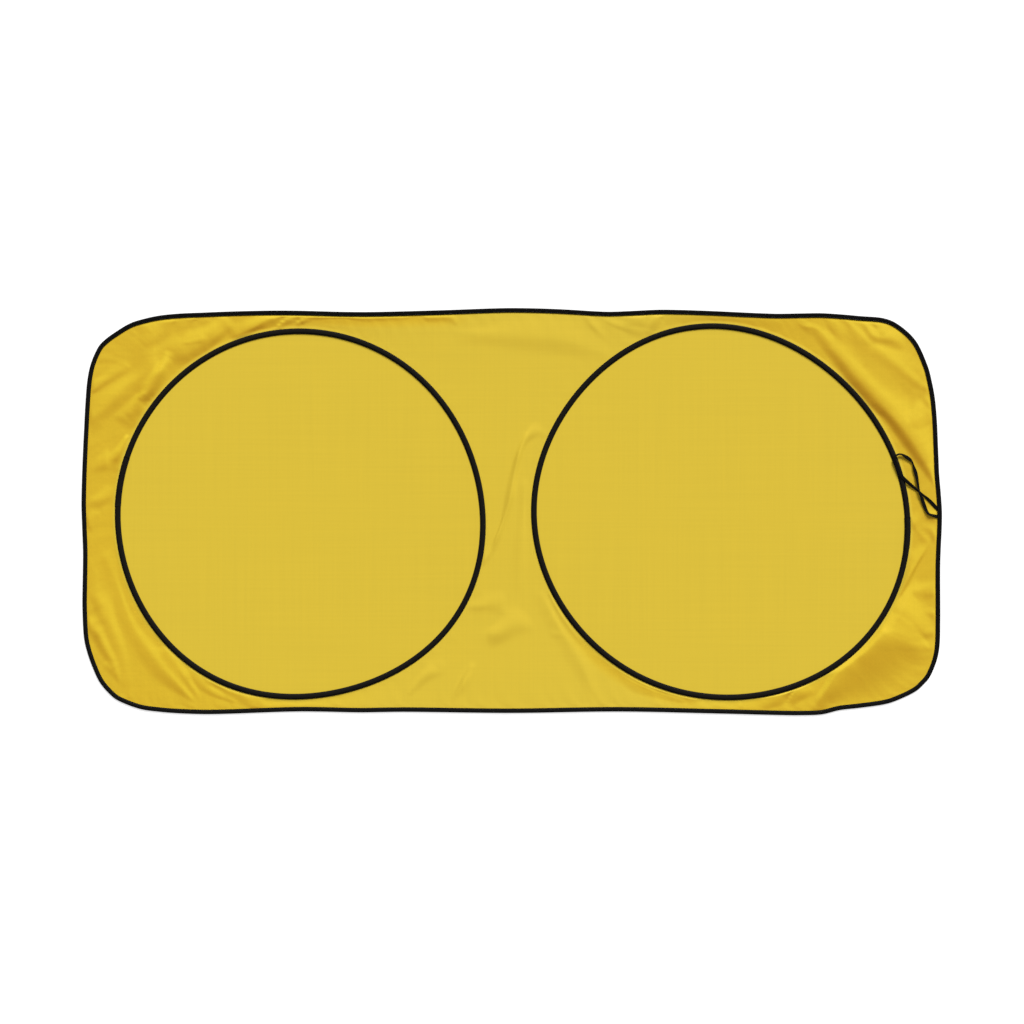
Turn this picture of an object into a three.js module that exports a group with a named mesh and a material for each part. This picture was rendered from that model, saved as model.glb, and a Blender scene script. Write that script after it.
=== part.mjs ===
// A folding windscreen sunshade, laid out flat. One rounded sheet of coated taffeta is bound round its
// edge with folded tape. Two hoops of spring wire run in tape casings sewn on the sheet, and a flat
// elastic loop at the right edge holds the sunshade shut when it is folded.
// Millimetres. +X runs along the sheet's length, +Y across it and +Z up from the floor that it lies on.

import * as THREE from "three";
import { mergeVertices } from "three/addons/utils/BufferGeometryUtils.js";

// Driving dimensions
const sheetLength = 1500;
const sheetWidth = 710;
const clothThickness = 0.4;
const layerGap = 0.3; // left between pieces that are sewn or rest on each other
const bindingWidth = 8; // one visible leaf of the folded tape
const bindingThickness = 0.5;
const casingWidth = 10;
const casingThickness = 0.5;
const wireDiameter = 1.6;
const wireEndGap = 1;
const ferruleLength = 24;
const ferruleWall = 0.4;
const elasticWidth = 6;
const elasticThickness = 1;
const endMargin = 62; // from the sheet's end to a hoop
const leftHoopSideMargin = 36; // from the sheet's long side to the left hoop
const rightHoopSideMargin = 31.7;
const leftHoopCentreMargin = 50; // from the sheet's middle line to the left hoop
const rightHoopCentreMargin = 41;
const leftHoopDrop = 6.4; // how far the hoop's centre lies off the sheet's long axis, towards -Y
const rightHoopDrop = 4.1;
const leftJoinAngle = 167; // where the ends of the wire meet, in degrees round the hoop
const rightJoinAngle = -7;
const slotPlay = 0.2; // more room in the binding's fold than a layer gap, past the cloth's cut edge

// Fineness of the faceted surfaces
const edgeStep = 35;
const marginSteps = 7;
const casingSteps = 60;
const wireSteps = 96;
const wireSides = 6;
const ferruleSteps = 3;
const ferruleSides = 12;
const elasticSteps = 48;
const crestSteps = 12;

const halfLength = sheetLength / 2;
const halfWidth = sheetWidth / 2;
const left = -1;
const right = 1;
const top = 1;
const bottom = -1;

// Places on the sheet. A point near a corner is given as [in from the end, in from the long side].
const nearCorner = (end, side) => ([inX, inY]) =>
  new THREE.Vector2(end * (halfLength - inX), side * (halfWidth - inY));
const nearMiddle = ([x, y]) => new THREE.Vector2(x, y);

// A point on a long side is [share of the half length, how far the edge stands in there].
const onLongSide = (side) => ([share, inset]) =>
  new THREE.Vector2(share * halfLength, side * (halfWidth - inset));
const onEnd = (end) => ([share, inset]) => new THREE.Vector2(end * (halfLength - inset), share * halfWidth);

// The finished edge, counterclockwise from the middle of the top side. Sewing has pulled the tape, so
// the sides wander by a few millimetres and no two corners are alike.
const topMiddle = [[0, 0]];
const topLeftSide = [[-0.17, 4], [-0.35, 7], [-0.54, 4.4], [-0.72, 8]];
const topLeftCorner = [[137, 13], [84, 27], [59, 42], [40, 56], [28, 70], [16, 98], [10, 128]];
const leftEnd = [[0.4, 4.5], [0.25, 2], [0.03, 0], [-0.19, 2.6], [-0.48, 1.7]];
const bottomLeftCorner = [[4, 138], [10, 110], [20, 82], [32, 57], [50, 36], [67, 24], [102, 11], [137, 6]];
const bottomLeftSide = [[-0.72, 2], [-0.49, 6.7], [-0.35, 5], [-0.26, 6]];
const bottomMiddle = [[0, 4]];
const bottomRightSide = [[0.25, 6.5], [0.48, 3], [0.67, 0], [0.72, 1.5]];
const bottomRightCorner = [
  [178, 9], [143, 13], [101, 19], [76, 27], [47, 41], [31, 55], [20, 69], [9, 96], [4, 124],
];
const rightEnd = [[-0.53, 3], [-0.26, 3], [0, 0], [0.18, 4.8], [0.33, 7]];
const topRightCorner = [[12, 160], [26, 98], [45, 58], [73, 31], [101, 18], [143, 14]];
const topRightSide = [[0.72, 9], [0.62, 10], [0.44, 4.5], [0.34, 3], [0.23, 6.5], [0.11, 2]];

const leftEdgePoints = [
  ...topMiddle.map(onLongSide(top)),
  ...topLeftSide.map(onLongSide(top)),
  ...topLeftCorner.map(nearCorner(left, top)),
  ...leftEnd.map(onEnd(left)),
  ...bottomLeftCorner.map(nearCorner(left, bottom)),
  ...bottomLeftSide.map(onLongSide(bottom)),
];
const rightEdgePoints = [
  ...bottomMiddle.map(onLongSide(bottom)),
  ...bottomRightSide.map(onLongSide(bottom)),
  ...bottomRightCorner.map(nearCorner(right, bottom)),
  ...rightEnd.map(onEnd(right)),
  ...topRightCorner.map(nearCorner(right, top)),
  ...topRightSide.map(onLongSide(top)),
];
const edgePoints = [...leftEdgePoints, ...rightEdgePoints];

// Stations along the smooth edge, at most one step apart, with the two middle points among them.
function walkEdge() {
  const curve = new THREE.CatmullRomCurve3(edgePoints.map((p) => new THREE.Vector3(p.x, p.y, 0)), true);
  const stations = [];
  let bottomStation = 0;
  edgePoints.forEach((point, i) => {
    if (i === leftEdgePoints.length) bottomStation = stations.length;
    const next = edgePoints[(i + 1) % edgePoints.length];
    const steps = Math.max(1, Math.round(point.distanceTo(next) / edgeStep));
    for (let k = 0; k < steps; k += 1) {
      const p = curve.getPoint((i + k / steps) / edgePoints.length);
      stations.push(new THREE.Vector2(p.x, p.y));
    }
  });
  return { stations: fillSheet(stations), bottomStation };
}

// Stretches the walked edge by the last fraction of a millimetre, so that it touches all four sides.
function fillSheet(points) {
  const reach = new THREE.Box2().setFromPoints(points);
  const size = reach.getSize(new THREE.Vector2());
  const middle = reach.getCenter(new THREE.Vector2());
  const stretch = new THREE.Vector2(sheetLength / size.x, sheetWidth / size.y);
  return points.map((p) => p.clone().sub(middle).multiply(stretch));
}

// The direction out of a closed counterclockwise run of points, at each of them.
function outwardAt(points, i) {
  const before = points[(i + points.length - 1) % points.length];
  const after = points[(i + 1) % points.length];
  const along = after.clone().sub(before).normalize();
  return new THREE.Vector2(along.y, -along.x);
}

const { stations: edgeStations, bottomStation } = walkEdge();
const edgeOutward = edgeStations.map((_, i) => outwardAt(edgeStations, i));

// Each hoop fills its half of the sheet, as far as the width and the length allow. The cloth pulls it
// out of round: each pull is [lobes round the hoop, how far, towards which angle in degrees].
function makeHoop({ end, sideMargin, centreMargin, drop, joinAt, pulls }) {
  const room = halfLength - endMargin - centreMargin;
  return {
    centre: new THREE.Vector2(end * (centreMargin + room / 2), -drop),
    radius: Math.min(halfWidth - sideMargin, room / 2),
    joinAngle: THREE.MathUtils.degToRad(joinAt),
    pulls: pulls.map(([lobes, amount, towards]) => [lobes, amount, THREE.MathUtils.degToRad(towards)]),
  };
}

const leftHoop = makeHoop({
  end: left,
  sideMargin: leftHoopSideMargin,
  centreMargin: leftHoopCentreMargin,
  drop: leftHoopDrop,
  joinAt: leftJoinAngle,
  pulls: [[2, 1, -49], [3, 2.6, -23], [4, 1.7, -29], [5, 0.6, -36]],
});
const rightHoop = makeHoop({
  end: right,
  sideMargin: rightHoopSideMargin,
  centreMargin: rightHoopCentreMargin,
  drop: rightHoopDrop,
  joinAt: rightJoinAngle,
  pulls: [[2, 7.2, -41], [3, 3.5, -29], [4, 1, 0], [5, 0.7, 30]],
});
const hoops = [leftHoop, rightHoop];

function hoopRadiusAt(hoop, angle) {
  let radius = hoop.radius;
  for (const [lobes, amount, towards] of hoop.pulls) radius += amount * Math.cos(lobes * (angle - towards));
  return radius;
}

function hoopPoint(hoop, angle, offset = 0) {
  const r = hoopRadiusAt(hoop, angle) + offset;
  return new THREE.Vector2(hoop.centre.x + r * Math.cos(angle), hoop.centre.y + r * Math.sin(angle));
}

// Heights of the layers on a hoop. At the join of the wire the ferrule lifts the wire and the tape.
const wireRadius = wireDiameter / 2;
const ferruleBore = wireRadius + layerGap;
const ferruleRadius = ferruleBore + ferruleWall;
const casingFoot = clothThickness + layerGap;
const wireRest = casingFoot + wireRadius;
const ferruleRest = casingFoot + ferruleRadius;
const joinHold = ferruleLength / 2 + 10; // each side of the join, the wire stays at the ferrule's height
const joinFall = 20;

function joinRise(hoop, angle) {
  const turn = THREE.MathUtils.euclideanModulo(angle - hoop.joinAngle + Math.PI, 2 * Math.PI) - Math.PI;
  const away = Math.abs(turn) * hoop.radius;
  return 1 - THREE.MathUtils.smoothstep(away, joinHold, joinHold + joinFall);
}

const wireHeight = (rise) => THREE.MathUtils.lerp(wireRest, ferruleRest, rise);

function archHeight(rise) {
  return wireHeight(rise) + THREE.MathUtils.lerp(wireRadius, ferruleRadius, rise) + layerGap;
}

// A stretch of a hoop, from one angle to another, at the height of its wire.
class HoopStretch extends THREE.Curve {
  constructor(hoop, from, to) {
    super();
    this.hoop = hoop;
    this.from = from;
    this.to = to;
  }

  getPoint(t, target = new THREE.Vector3()) {
    const angle = THREE.MathUtils.lerp(this.from, this.to, t);
    const p = hoopPoint(this.hoop, angle);
    return target.set(p.x, p.y, wireHeight(joinRise(this.hoop, angle)));
  }
}

// Folds of the loose cloth between the hoops and the edge. Each is a crest through a few points, with
// its height and how far it spreads to the left and to the right of its run.
const topRightFolds = [
  { crest: [[212, 39], [176, 87], [135, 131], [94, 179], [62, 219], [42, 247]], high: 7, spread: [40, 23] },
  { crest: [[163, 23], [137, 61], [98, 92], [55, 126], [28, 140]], high: 4, spread: [32, 44] },
  { crest: [[138, 19], [122, 46], [100, 53], [65, 61]], high: 3, spread: [18, 14] },
];
const bottomRightFolds = [
  { crest: [[222, 15], [202, 43], [183, 64], [160, 91], [138, 118]], high: 7, spread: [13, 42] },
  { crest: [[150, 111], [110, 139], [75, 141], [45, 127], [19, 112]], high: 8, spread: [26, 78] },
  { crest: [[267, 21], [249, 39], [230, 46]], high: 2.5, spread: [12, 14] },
];
const topLeftFolds = [
  { crest: [[252, 34], [233, 45], [215, 57], [182, 74], [149, 66]], high: 4.5, spread: [20, 29] },
  { crest: [[106, 60], [129, 54], [143, 41], [152, 22]], high: 4, spread: [18, 14] },
  { crest: [[128, 59], [124, 92], [120, 126]], high: 3.5, spread: [25, 36] },
  { crest: [[149, 99], [133, 113], [119, 141], [104, 157]], high: 6, spread: [18, 12] },
  { crest: [[116, 118], [82, 134], [56, 160], [27, 192]], high: 4, spread: [24, 24] },
  { crest: [[21, 143], [52, 120], [83, 104]], high: 1.5, spread: [14, 12] },
];
const bottomLeftFolds = [
  { crest: [[44, 273], [65, 215], [90, 154], [129, 96], [164, 58], [199, 22]], high: 4, spread: [17, 24] },
  { crest: [[20, 217], [37, 191], [49, 160], [65, 109], [74, 64]], high: 3.5, spread: [17, 20] },
  { crest: [[16, 157], [29, 144], [43, 116], [57, 89]], high: 3.5, spread: [14, 14] },
  { crest: [[236, 57], [266, 45], [293, 26]], high: 2.5, spread: [12, 14] },
];
const middleFolds = [
  { crest: [[-104, 309], [-40, 307], [28, 306], [152, 279]], high: 2, spread: [28, 28] },
  { crest: [[59, 135], [24, 129], [12, 99], [1, 49], [-25, -42], [-44, -85]], high: 3, spread: [14, 14] },
  { crest: [[52, -148], [89, -213], [107, -242], [147, -325]], high: 2, spread: [16, 18] },
  { crest: [[-44, -214], [-21, -211], [5, -195], [37, -202]], high: 2, spread: [16, 20] },
  { crest: [[-176, -313], [-152, -286], [-124, -277]], high: 2, spread: [14, 14] },
];

function placeFold(fold, place) {
  const route = new THREE.SplineCurve(fold.crest.map(place)).getPoints(crestSteps);
  return { ...fold, route };
}

const folds = [
  ...topRightFolds.map((fold) => placeFold(fold, nearCorner(right, top))),
  ...bottomRightFolds.map((fold) => placeFold(fold, nearCorner(right, bottom))),
  ...topLeftFolds.map((fold) => placeFold(fold, nearCorner(left, top))),
  ...bottomLeftFolds.map((fold) => placeFold(fold, nearCorner(left, bottom))),
  ...middleFolds.map((fold) => placeFold(fold, nearMiddle)),
];

// Nearest point of a run of points: how far off it is, how far along the run, and on which side.
function nearestOn(route, p) {
  let best = { distance: Infinity, share: 0, side: 1 };
  for (let i = 0; i + 1 < route.length; i += 1) {
    const run = route[i + 1].clone().sub(route[i]);
    const to = p.clone().sub(route[i]);
    const t = THREE.MathUtils.clamp(to.dot(run) / run.lengthSq(), 0, 1);
    const distance = to.distanceTo(run.clone().multiplyScalar(t));
    if (distance < best.distance) {
      best = { distance, share: (i + t) / (route.length - 1), side: Math.sign(run.cross(to)) || 1 };
    }
  }
  return best;
}

// A fold's cross-section is a bell, and its height fades out towards both ends of its run.
const fadeShare = 0.25;

function foldHeight(fold, p) {
  const { distance, share, side } = nearestOn(fold.route, p);
  const spread = fold.spread[side > 0 ? 0 : 1];
  const bell = Math.cos((Math.PI / 2) * Math.min(1, distance / spread)) ** 2;
  return fold.high * bell * THREE.MathUtils.smoothstep(Math.min(share, 1 - share), 0, fadeShare);
}

// The cloth lies flat under the hoops' tape and inside the binding, and is free between them.
const flatPastCasing = 2;
const hoopReach = casingWidth / 2 + flatPastCasing;
const bindingReach = bindingWidth + flatPastCasing;
const slotDepth = bindingThickness + slotPlay;
const clothEdgeInset = slotDepth + layerGap;
const clothAtEdge = bindingThickness + layerGap;
const foldStart = 11; // how far from tape a fold reaches its full height
const edgeLoop = [...edgeStations, edgeStations[0]];

function beyondHoops(p) {
  const gaps = hoops.map((hoop) => {
    const out = p.clone().sub(hoop.centre);
    return out.length() - hoopRadiusAt(hoop, out.angle()) - hoopReach;
  });
  return Math.max(0, Math.min(...gaps));
}

function insideBinding(p) {
  return Math.max(0, nearestOn(edgeLoop, p).distance - bindingReach);
}

// Height of the cloth's underside.
function clothHeight(p) {
  const fromHoops = beyondHoops(p);
  if (fromHoops === 0) return 0;
  const fromBinding = insideBinding(p);
  const rise = clothAtEdge * THREE.MathUtils.smoothstep(fromHoops / (fromHoops + fromBinding), 0, 1);
  const freeOfHoops = THREE.MathUtils.smoothstep(fromHoops, 0, foldStart);
  const freeOfBinding = THREE.MathUtils.smoothstep(fromBinding, 0, foldStart);
  const folded = folds.reduce((height, fold) => height + foldHeight(fold, p), 0);
  return rise + freeOfHoops * freeOfBinding * folded;
}

// Collects triangles and closes them into one surface.
class Surface {
  positions = [];

  triangle(a, b, c) {
    for (const p of [a, b, c]) this.positions.push(p.x, p.y, p.z);
  }

  quad(a, b, c, d) {
    this.triangle(a, b, c);
    this.triangle(a, c, d);
  }

  geometry() {
    const loose = new THREE.BufferGeometry();
    loose.setAttribute("position", new THREE.Float32BufferAttribute(this.positions, 3));
    const merged = mergeVertices(loose, 1e-4);
    merged.computeVertexNormals();
    return merged;
  }
}

// A point of the sheet's edge, moved in by some millimetres.
function inFromEdge(station, inset) {
  return edgeStations[station].clone().addScaledVector(edgeOutward[station], -inset);
}

// The closed run of points that bounds one half of the sheet, counterclockwise: its part of the
// binding's inner edge and then the sheet's middle line. The cloth goes on past the first of them to
// its cut edge, inside the binding.
function halfBoundary(stations, middleLine) {
  return {
    inner: [...stations.map((i) => inFromEdge(i, bindingReach)), ...middleLine],
    cut: stations.map((i) => inFromEdge(i, clothEdgeInset)),
  };
}

// One half of the sheet, as rays from the hoop's centre: flat to the hoop's tape, then free to the
// binding's inner edge, then flat again inside the fold of the binding.
function addHalf(surface, hoop, boundary) {
  const rays = boundary.inner.map((inner, i) => {
    const angle = inner.clone().sub(hoop.centre).angle();
    const start = hoopPoint(hoop, angle, hoopReach);
    const ray = [];
    for (let k = 0; k <= marginSteps; k += 1) ray.push(start.clone().lerp(inner, k / marginSteps));
    if (i < boundary.cut.length) ray.push(boundary.cut[i]);
    return ray.map((p, k) => new THREE.Vector3(p.x, p.y, k > marginSteps ? clothAtEdge : clothHeight(p)));
  });
  const lift = new THREE.Vector3(0, 0, clothThickness);
  const above = (p) => p.clone().add(lift);
  const hub = new THREE.Vector3(hoop.centre.x, hoop.centre.y, 0);
  rays.forEach((ray, i) => {
    const next = rays[(i + 1) % rays.length];
    surface.triangle(above(hub), above(ray[0]), above(next[0]));
    surface.triangle(hub, next[0], ray[0]);
    for (let k = 0; k < Math.min(ray.length, next.length) - 1; k += 1) {
      surface.quad(above(ray[k]), above(ray[k + 1]), above(next[k + 1]), above(next[k]));
      surface.quad(ray[k], next[k], next[k + 1], ray[k + 1]);
    }
    if (ray.length > marginSteps + 1 && next.length > marginSteps + 1) {
      surface.quad(ray.at(-1), next.at(-1), above(next.at(-1)), above(ray.at(-1)));
    }
  });
}

// A closed band: a section carried round a closed run of stations. Each station has its place, the
// direction out of the run, and its section's corners as [outwards, up], counterclockwise.
function closedBand(stations) {
  const surface = new Surface();
  const rings = stations.map(({ place, outward, section }) =>
    section.map(([out, up]) => new THREE.Vector3(place.x + out * outward.x, place.y + out * outward.y, up)),
  );
  rings.forEach((ring, i) => {
    const next = rings[(i + 1) % rings.length];
    ring.forEach((p, j) => {
      const k = (j + 1) % ring.length;
      surface.quad(p, next[j], next[k], ring[k]);
    });
  });
  return surface.geometry();
}

function makeFabricPanel() {
  const stations = [...edgeStations.keys()];
  const low = inFromEdge(bottomStation, bindingReach);
  const high = inFromEdge(0, bindingReach);
  const steps = Math.round(sheetWidth / edgeStep);
  const middleLine = [];
  for (let k = 1; k < steps; k += 1) middleLine.push(low.clone().lerp(high, k / steps));
  const surface = new Surface();
  addHalf(surface, leftHoop, halfBoundary(stations.slice(0, bottomStation + 1), middleLine));
  addHalf(surface, rightHoop, halfBoundary([...stations.slice(bottomStation), 0], middleLine.reverse()));
  return surface.geometry();
}

// Tape folded over the cloth's edge: a rounded fold outside, and one leaf over and one under the cloth.
function makeEdgeBinding() {
  const height = 2 * clothAtEdge + clothThickness;
  const section = [
    [0, height / 2],
    [-bindingThickness, 0],
    [-bindingWidth, 0],
    [-bindingWidth, bindingThickness],
    [-slotDepth, bindingThickness],
    [-slotDepth, height - bindingThickness],
    [-bindingWidth, height - bindingThickness],
    [-bindingWidth, height],
    [-bindingThickness, height],
  ].reverse();
  return closedBand(edgeStations.map((place, i) => ({ place, outward: edgeOutward[i], section })));
}

// Tape laid over the wire and sewn down along both its edges, so that it stands up as a low arch.
const seamAllowance = 1.8; // the strip of tape outside each row of stitches
const archSlope = 1.2;

function casingSection(rise) {
  const half = casingWidth / 2;
  const footInside = half - seamAllowance;
  const crownInside = footInside - archSlope;
  const inside = archHeight(rise);
  const outside = inside + casingThickness;
  const flange = casingFoot + casingThickness;
  const slack = casingThickness / 2;
  return [
    [-half, casingFoot],
    [-footInside, casingFoot],
    [-crownInside, inside],
    [crownInside, inside],
    [footInside, casingFoot],
    [half, casingFoot],
    [half, flange],
    [footInside + slack, flange],
    [crownInside + slack, outside],
    [-crownInside - slack, outside],
    [-footInside - slack, flange],
    [-half, flange],
  ];
}

function makeHoopCasing(hoop) {
  const hold = joinHold / hoop.radius;
  const angles = [hoop.joinAngle - hold, hoop.joinAngle];
  for (let k = 0; k < casingSteps; k += 1) {
    angles.push(hoop.joinAngle + hold + ((2 * Math.PI - 2 * hold) * k) / casingSteps);
  }
  const places = angles.map((angle) => hoopPoint(hoop, angle));
  const stations = places.map((place, i) => ({
    place,
    outward: outwardAt(places, i),
    section: casingSection(joinRise(hoop, angles[i])),
  }));
  return closedBand(stations);
}

const circle = (radius, sides) => {
  const corners = [];
  for (let i = 0; i < sides; i += 1) {
    const turn = ((i + 0.5) * 2 * Math.PI) / sides;
    corners.push(new THREE.Vector2(radius * Math.cos(turn), radius * Math.sin(turn)));
  }
  return corners;
};

// The wire goes once round its hoop, and its two ends meet inside the ferrule.
function makeHoopWire(hoop) {
  const halfGap = wireEndGap / 2 / hoop.radius;
  const path = new HoopStretch(hoop, hoop.joinAngle + halfGap, hoop.joinAngle + 2 * Math.PI - halfGap);
  const section = new THREE.Shape(circle(wireRadius, wireSides));
  return new THREE.ExtrudeGeometry(section, { steps: wireSteps, extrudePath: path });
}

function makeWireFerrule(hoop) {
  const half = ferruleLength / 2 / hoop.radius;
  const path = new HoopStretch(hoop, hoop.joinAngle - half, hoop.joinAngle + half);
  const tube = new THREE.Shape(circle(ferruleRadius, ferruleSides));
  tube.holes.push(new THREE.Path(circle(ferruleBore, ferruleSides)));
  return new THREE.ExtrudeGeometry(tube, { steps: ferruleSteps, extrudePath: path });
}

// The elastic leaves the right edge, crosses over itself, lies over the hoop's tape and comes back.
// Each point is [in from the right end, y, how high its middle lies].
const onCloth = clothAtEdge + clothThickness + layerGap + elasticThickness / 2;
const onCasing = archHeight(0) + casingThickness + layerGap + elasticThickness / 2;
const onElastic = onCloth + elasticThickness + layerGap;
const elasticRoute = [
  [11.1, 6.6, onCloth],
  [16.4, 13.2, onCloth],
  [26, 23, onCloth],
  [40, 34.8, onCloth],
  [52, 44.5, onCloth + 0.6],
  [63.3, 54.3, onCasing - 0.4],
  [70.4, 64.4, onCasing],
  [79, 80.3, onCasing],
  [83.2, 89, onCasing],
  [81.7, 96.6, onCasing],
  [76.2, 99.8, onCasing],
  [70, 99.6, onCasing - 0.8],
  [61.7, 94.8, onCloth + 0.4],
  [54.5, 89.7, onCloth],
  [50.9, 84.6, onCloth],
  [48.4, 75.9, onCloth],
  [45.1, 60.1, onCloth + 0.3],
  [42.3, 44.2, onElastic],
  [40, 34.8, onElastic + 0.2],
  [35.7, 22.4, onElastic],
  [30, 5.1, onCloth],
  [26.4, -2.4, onCloth],
  [21.6, -5.6, onCloth],
  [9.2, -7.9, onCloth],
];

function makeElasticLoop() {
  const points = elasticRoute.map(([inX, y, z]) => new THREE.Vector3(halfLength - inX, y, z));
  const path = new THREE.CatmullRomCurve3(points);
  const halfWide = elasticWidth / 2;
  const halfThick = elasticThickness / 2;
  const bevel = halfThick / 2;
  const section = [
    [-halfThick, -halfWide + bevel],
    [-bevel, -halfWide],
    [bevel, -halfWide],
    [halfThick, -halfWide + bevel],
    [halfThick, halfWide - bevel],
    [bevel, halfWide],
    [-bevel, halfWide],
    [-halfThick, halfWide - bevel],
  ].map(([x, y]) => new THREE.Vector2(x, y));
  return new THREE.ExtrudeGeometry(new THREE.Shape(section), { steps: elasticSteps, extrudePath: path });
}

const clothFinish = new THREE.MeshStandardMaterial({ color: 0xdbbe3b, roughness: 0.62, metalness: 0 });
const bindingFinish = new THREE.MeshStandardMaterial({ color: 0x1b1915, roughness: 0.85, metalness: 0 });
const casingFinish = new THREE.MeshStandardMaterial({ color: 0x1d1a16, roughness: 0.85, metalness: 0 });
const wireFinish = new THREE.MeshStandardMaterial({ color: 0x8d9092, roughness: 0.35, metalness: 1 });
const ferruleFinish = new THREE.MeshStandardMaterial({ color: 0xa7a9aa, roughness: 0.4, metalness: 1 });
const elasticFinish = new THREE.MeshStandardMaterial({ color: 0x14120f, roughness: 0.9, metalness: 0 });

const sunshade = new THREE.Group();

function addPiece(name, geometry, material) {
  const piece = new THREE.Mesh(geometry, material);
  piece.name = name;
  sunshade.add(piece);
}

addPiece("fabric_panel", makeFabricPanel(), clothFinish);
addPiece("edge_binding", makeEdgeBinding(), bindingFinish);
for (const [side, hoop] of [["left", leftHoop], ["right", rightHoop]]) {
  addPiece(`${side}_hoop_casing`, makeHoopCasing(hoop), casingFinish);
  addPiece(`${side}_hoop_wire`, makeHoopWire(hoop), wireFinish);
  addPiece(`${side}_wire_ferrule`, makeWireFerrule(hoop), ferruleFinish);
}
addPiece("elastic_loop", makeElasticLoop(), elasticFinish);

export default sunshade;
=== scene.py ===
# %% [markdown]
# # A folding windscreen sunshade
# The real object is one rounded sheet of yellow taffeta with a black tape folded round its edge.
# Two hoops of spring wire run in black tape casings that are sewn on the sheet, and a flat elastic
# loop at one end holds the sunshade shut. It lies on a floor, and the camera looks straight down.
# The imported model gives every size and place. This script gives each piece its fine surface.

# %% Load the frame
import bpy
import numpy as np
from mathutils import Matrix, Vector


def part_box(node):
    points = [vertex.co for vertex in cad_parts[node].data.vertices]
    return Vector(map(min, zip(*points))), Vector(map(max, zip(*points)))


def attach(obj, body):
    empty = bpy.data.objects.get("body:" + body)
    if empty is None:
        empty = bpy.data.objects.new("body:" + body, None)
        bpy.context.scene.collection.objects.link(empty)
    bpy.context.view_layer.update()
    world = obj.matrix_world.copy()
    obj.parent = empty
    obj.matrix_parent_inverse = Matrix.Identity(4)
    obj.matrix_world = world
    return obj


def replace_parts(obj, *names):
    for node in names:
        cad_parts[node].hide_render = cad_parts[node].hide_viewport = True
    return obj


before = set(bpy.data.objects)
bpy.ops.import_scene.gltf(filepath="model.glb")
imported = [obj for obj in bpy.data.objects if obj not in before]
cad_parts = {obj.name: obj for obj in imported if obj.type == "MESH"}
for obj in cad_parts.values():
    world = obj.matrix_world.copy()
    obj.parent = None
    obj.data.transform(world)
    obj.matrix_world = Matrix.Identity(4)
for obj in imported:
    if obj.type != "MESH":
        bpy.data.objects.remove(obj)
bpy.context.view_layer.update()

body = "root"
mm = 0.001
print("nodes:", sorted(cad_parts))

# %% [markdown]
# ## Camera
# A long lens far above the sheet keeps its outline true, as in a product photograph. How far above
# follows from the width of the view, 1785 mm, and from the lens.

# %% Camera
photo_pixels = 1024
mm_per_pixel = 1.7436
photo_middle = (511.75, 511.65)  # the pixel of the photograph over the sunshade's middle
sensor_width = 36.0
lens = 100.0


def set_up_camera():
    """Camera straight above: its distance is the view's width times lens over sensor width."""
    view_width = photo_pixels * mm_per_pixel * mm
    data = bpy.data.cameras.new("camera")
    data.lens = lens
    data.sensor_width = sensor_width
    data.clip_end = 100
    camera = bpy.data.objects.new("camera", data)
    aim_x = (photo_pixels / 2 - photo_middle[0]) * mm_per_pixel * mm
    aim_y = (photo_middle[1] - photo_pixels / 2) * mm_per_pixel * mm
    camera.location = (aim_x, aim_y, view_width * lens / sensor_width)
    bpy.context.collection.objects.link(camera)
    bpy.context.scene.camera = camera
    print("camera height, m:", round(camera.location.z, 3))


set_up_camera()

# %% [markdown]
# ## Colours and nodes
# Colours are chosen as sRGB hex values, but Blender mixes light in linear ones, so one function
# turns the first into the second. A material is a tree of nodes. A second function adds a node with
# its settings and its links in one call, so that a material can be read from top to bottom.

# %% Helpers for materials


def linear(hex_colour):
    """An sRGB hex colour as linear RGBA: each channel c above 0.04045 is ((c + 0.055) / 1.055) to
    the power 2.4, and a darker one is c / 12.92."""
    channels = np.array([int(hex_colour[i : i + 2], 16) for i in (0, 2, 4)]) / 255
    curved = ((channels + 0.055) / 1.055) ** 2.4
    return (*np.where(channels > 0.04045, curved, channels / 12.92).tolist(), 1.0)


def add_node(tree, kind, inputs=None, links=None, **settings):
    """Adds a node: settings are its own properties, inputs its sockets' values, and links their
    sources."""
    node = tree.nodes.new(kind)
    for name, value in settings.items():
        setattr(node, name, value)
    for name, value in (inputs or {}).items():
        node.inputs[name].default_value = value
    for name, source in (links or {}).items():
        tree.links.new(source, node.inputs[name])
    return node


def new_material(name):
    """An empty node material, and its tree."""
    material = bpy.data.materials.new(name)
    material.use_nodes = True
    material.node_tree.nodes.clear()
    return material, material.node_tree


def finish_material(tree, shader):
    """Joins a shader node's first output to the material's surface."""
    add_node(tree, "ShaderNodeOutputMaterial", links={"Surface": shader.outputs[0]})


print("white as linear RGBA:", linear("ffffff"))

# %% [markdown]
# ## Floor and light
# The key light comes low from the far side and a little from the right, because the loose cloth
# round the hoops shows its folds only when light grazes them. An even white sky fills the shadows.
# The floor is one large plane a hair below the cloth. It is opal glass lit from below, as on a
# photographer's light table, which washes out nearly all of the shadow round the sunshade.

# %% Floor and light
floor_half = 12.0
floor_height = -0.0004
sun_strength = 4.83
sun_spread = np.radians(24)  # a wide sun has soft shadows
sun_turn = (np.radians(-60), 0, np.radians(-20))
sky_strength = 0.33
white = (1, 1, 1, 1)


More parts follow.
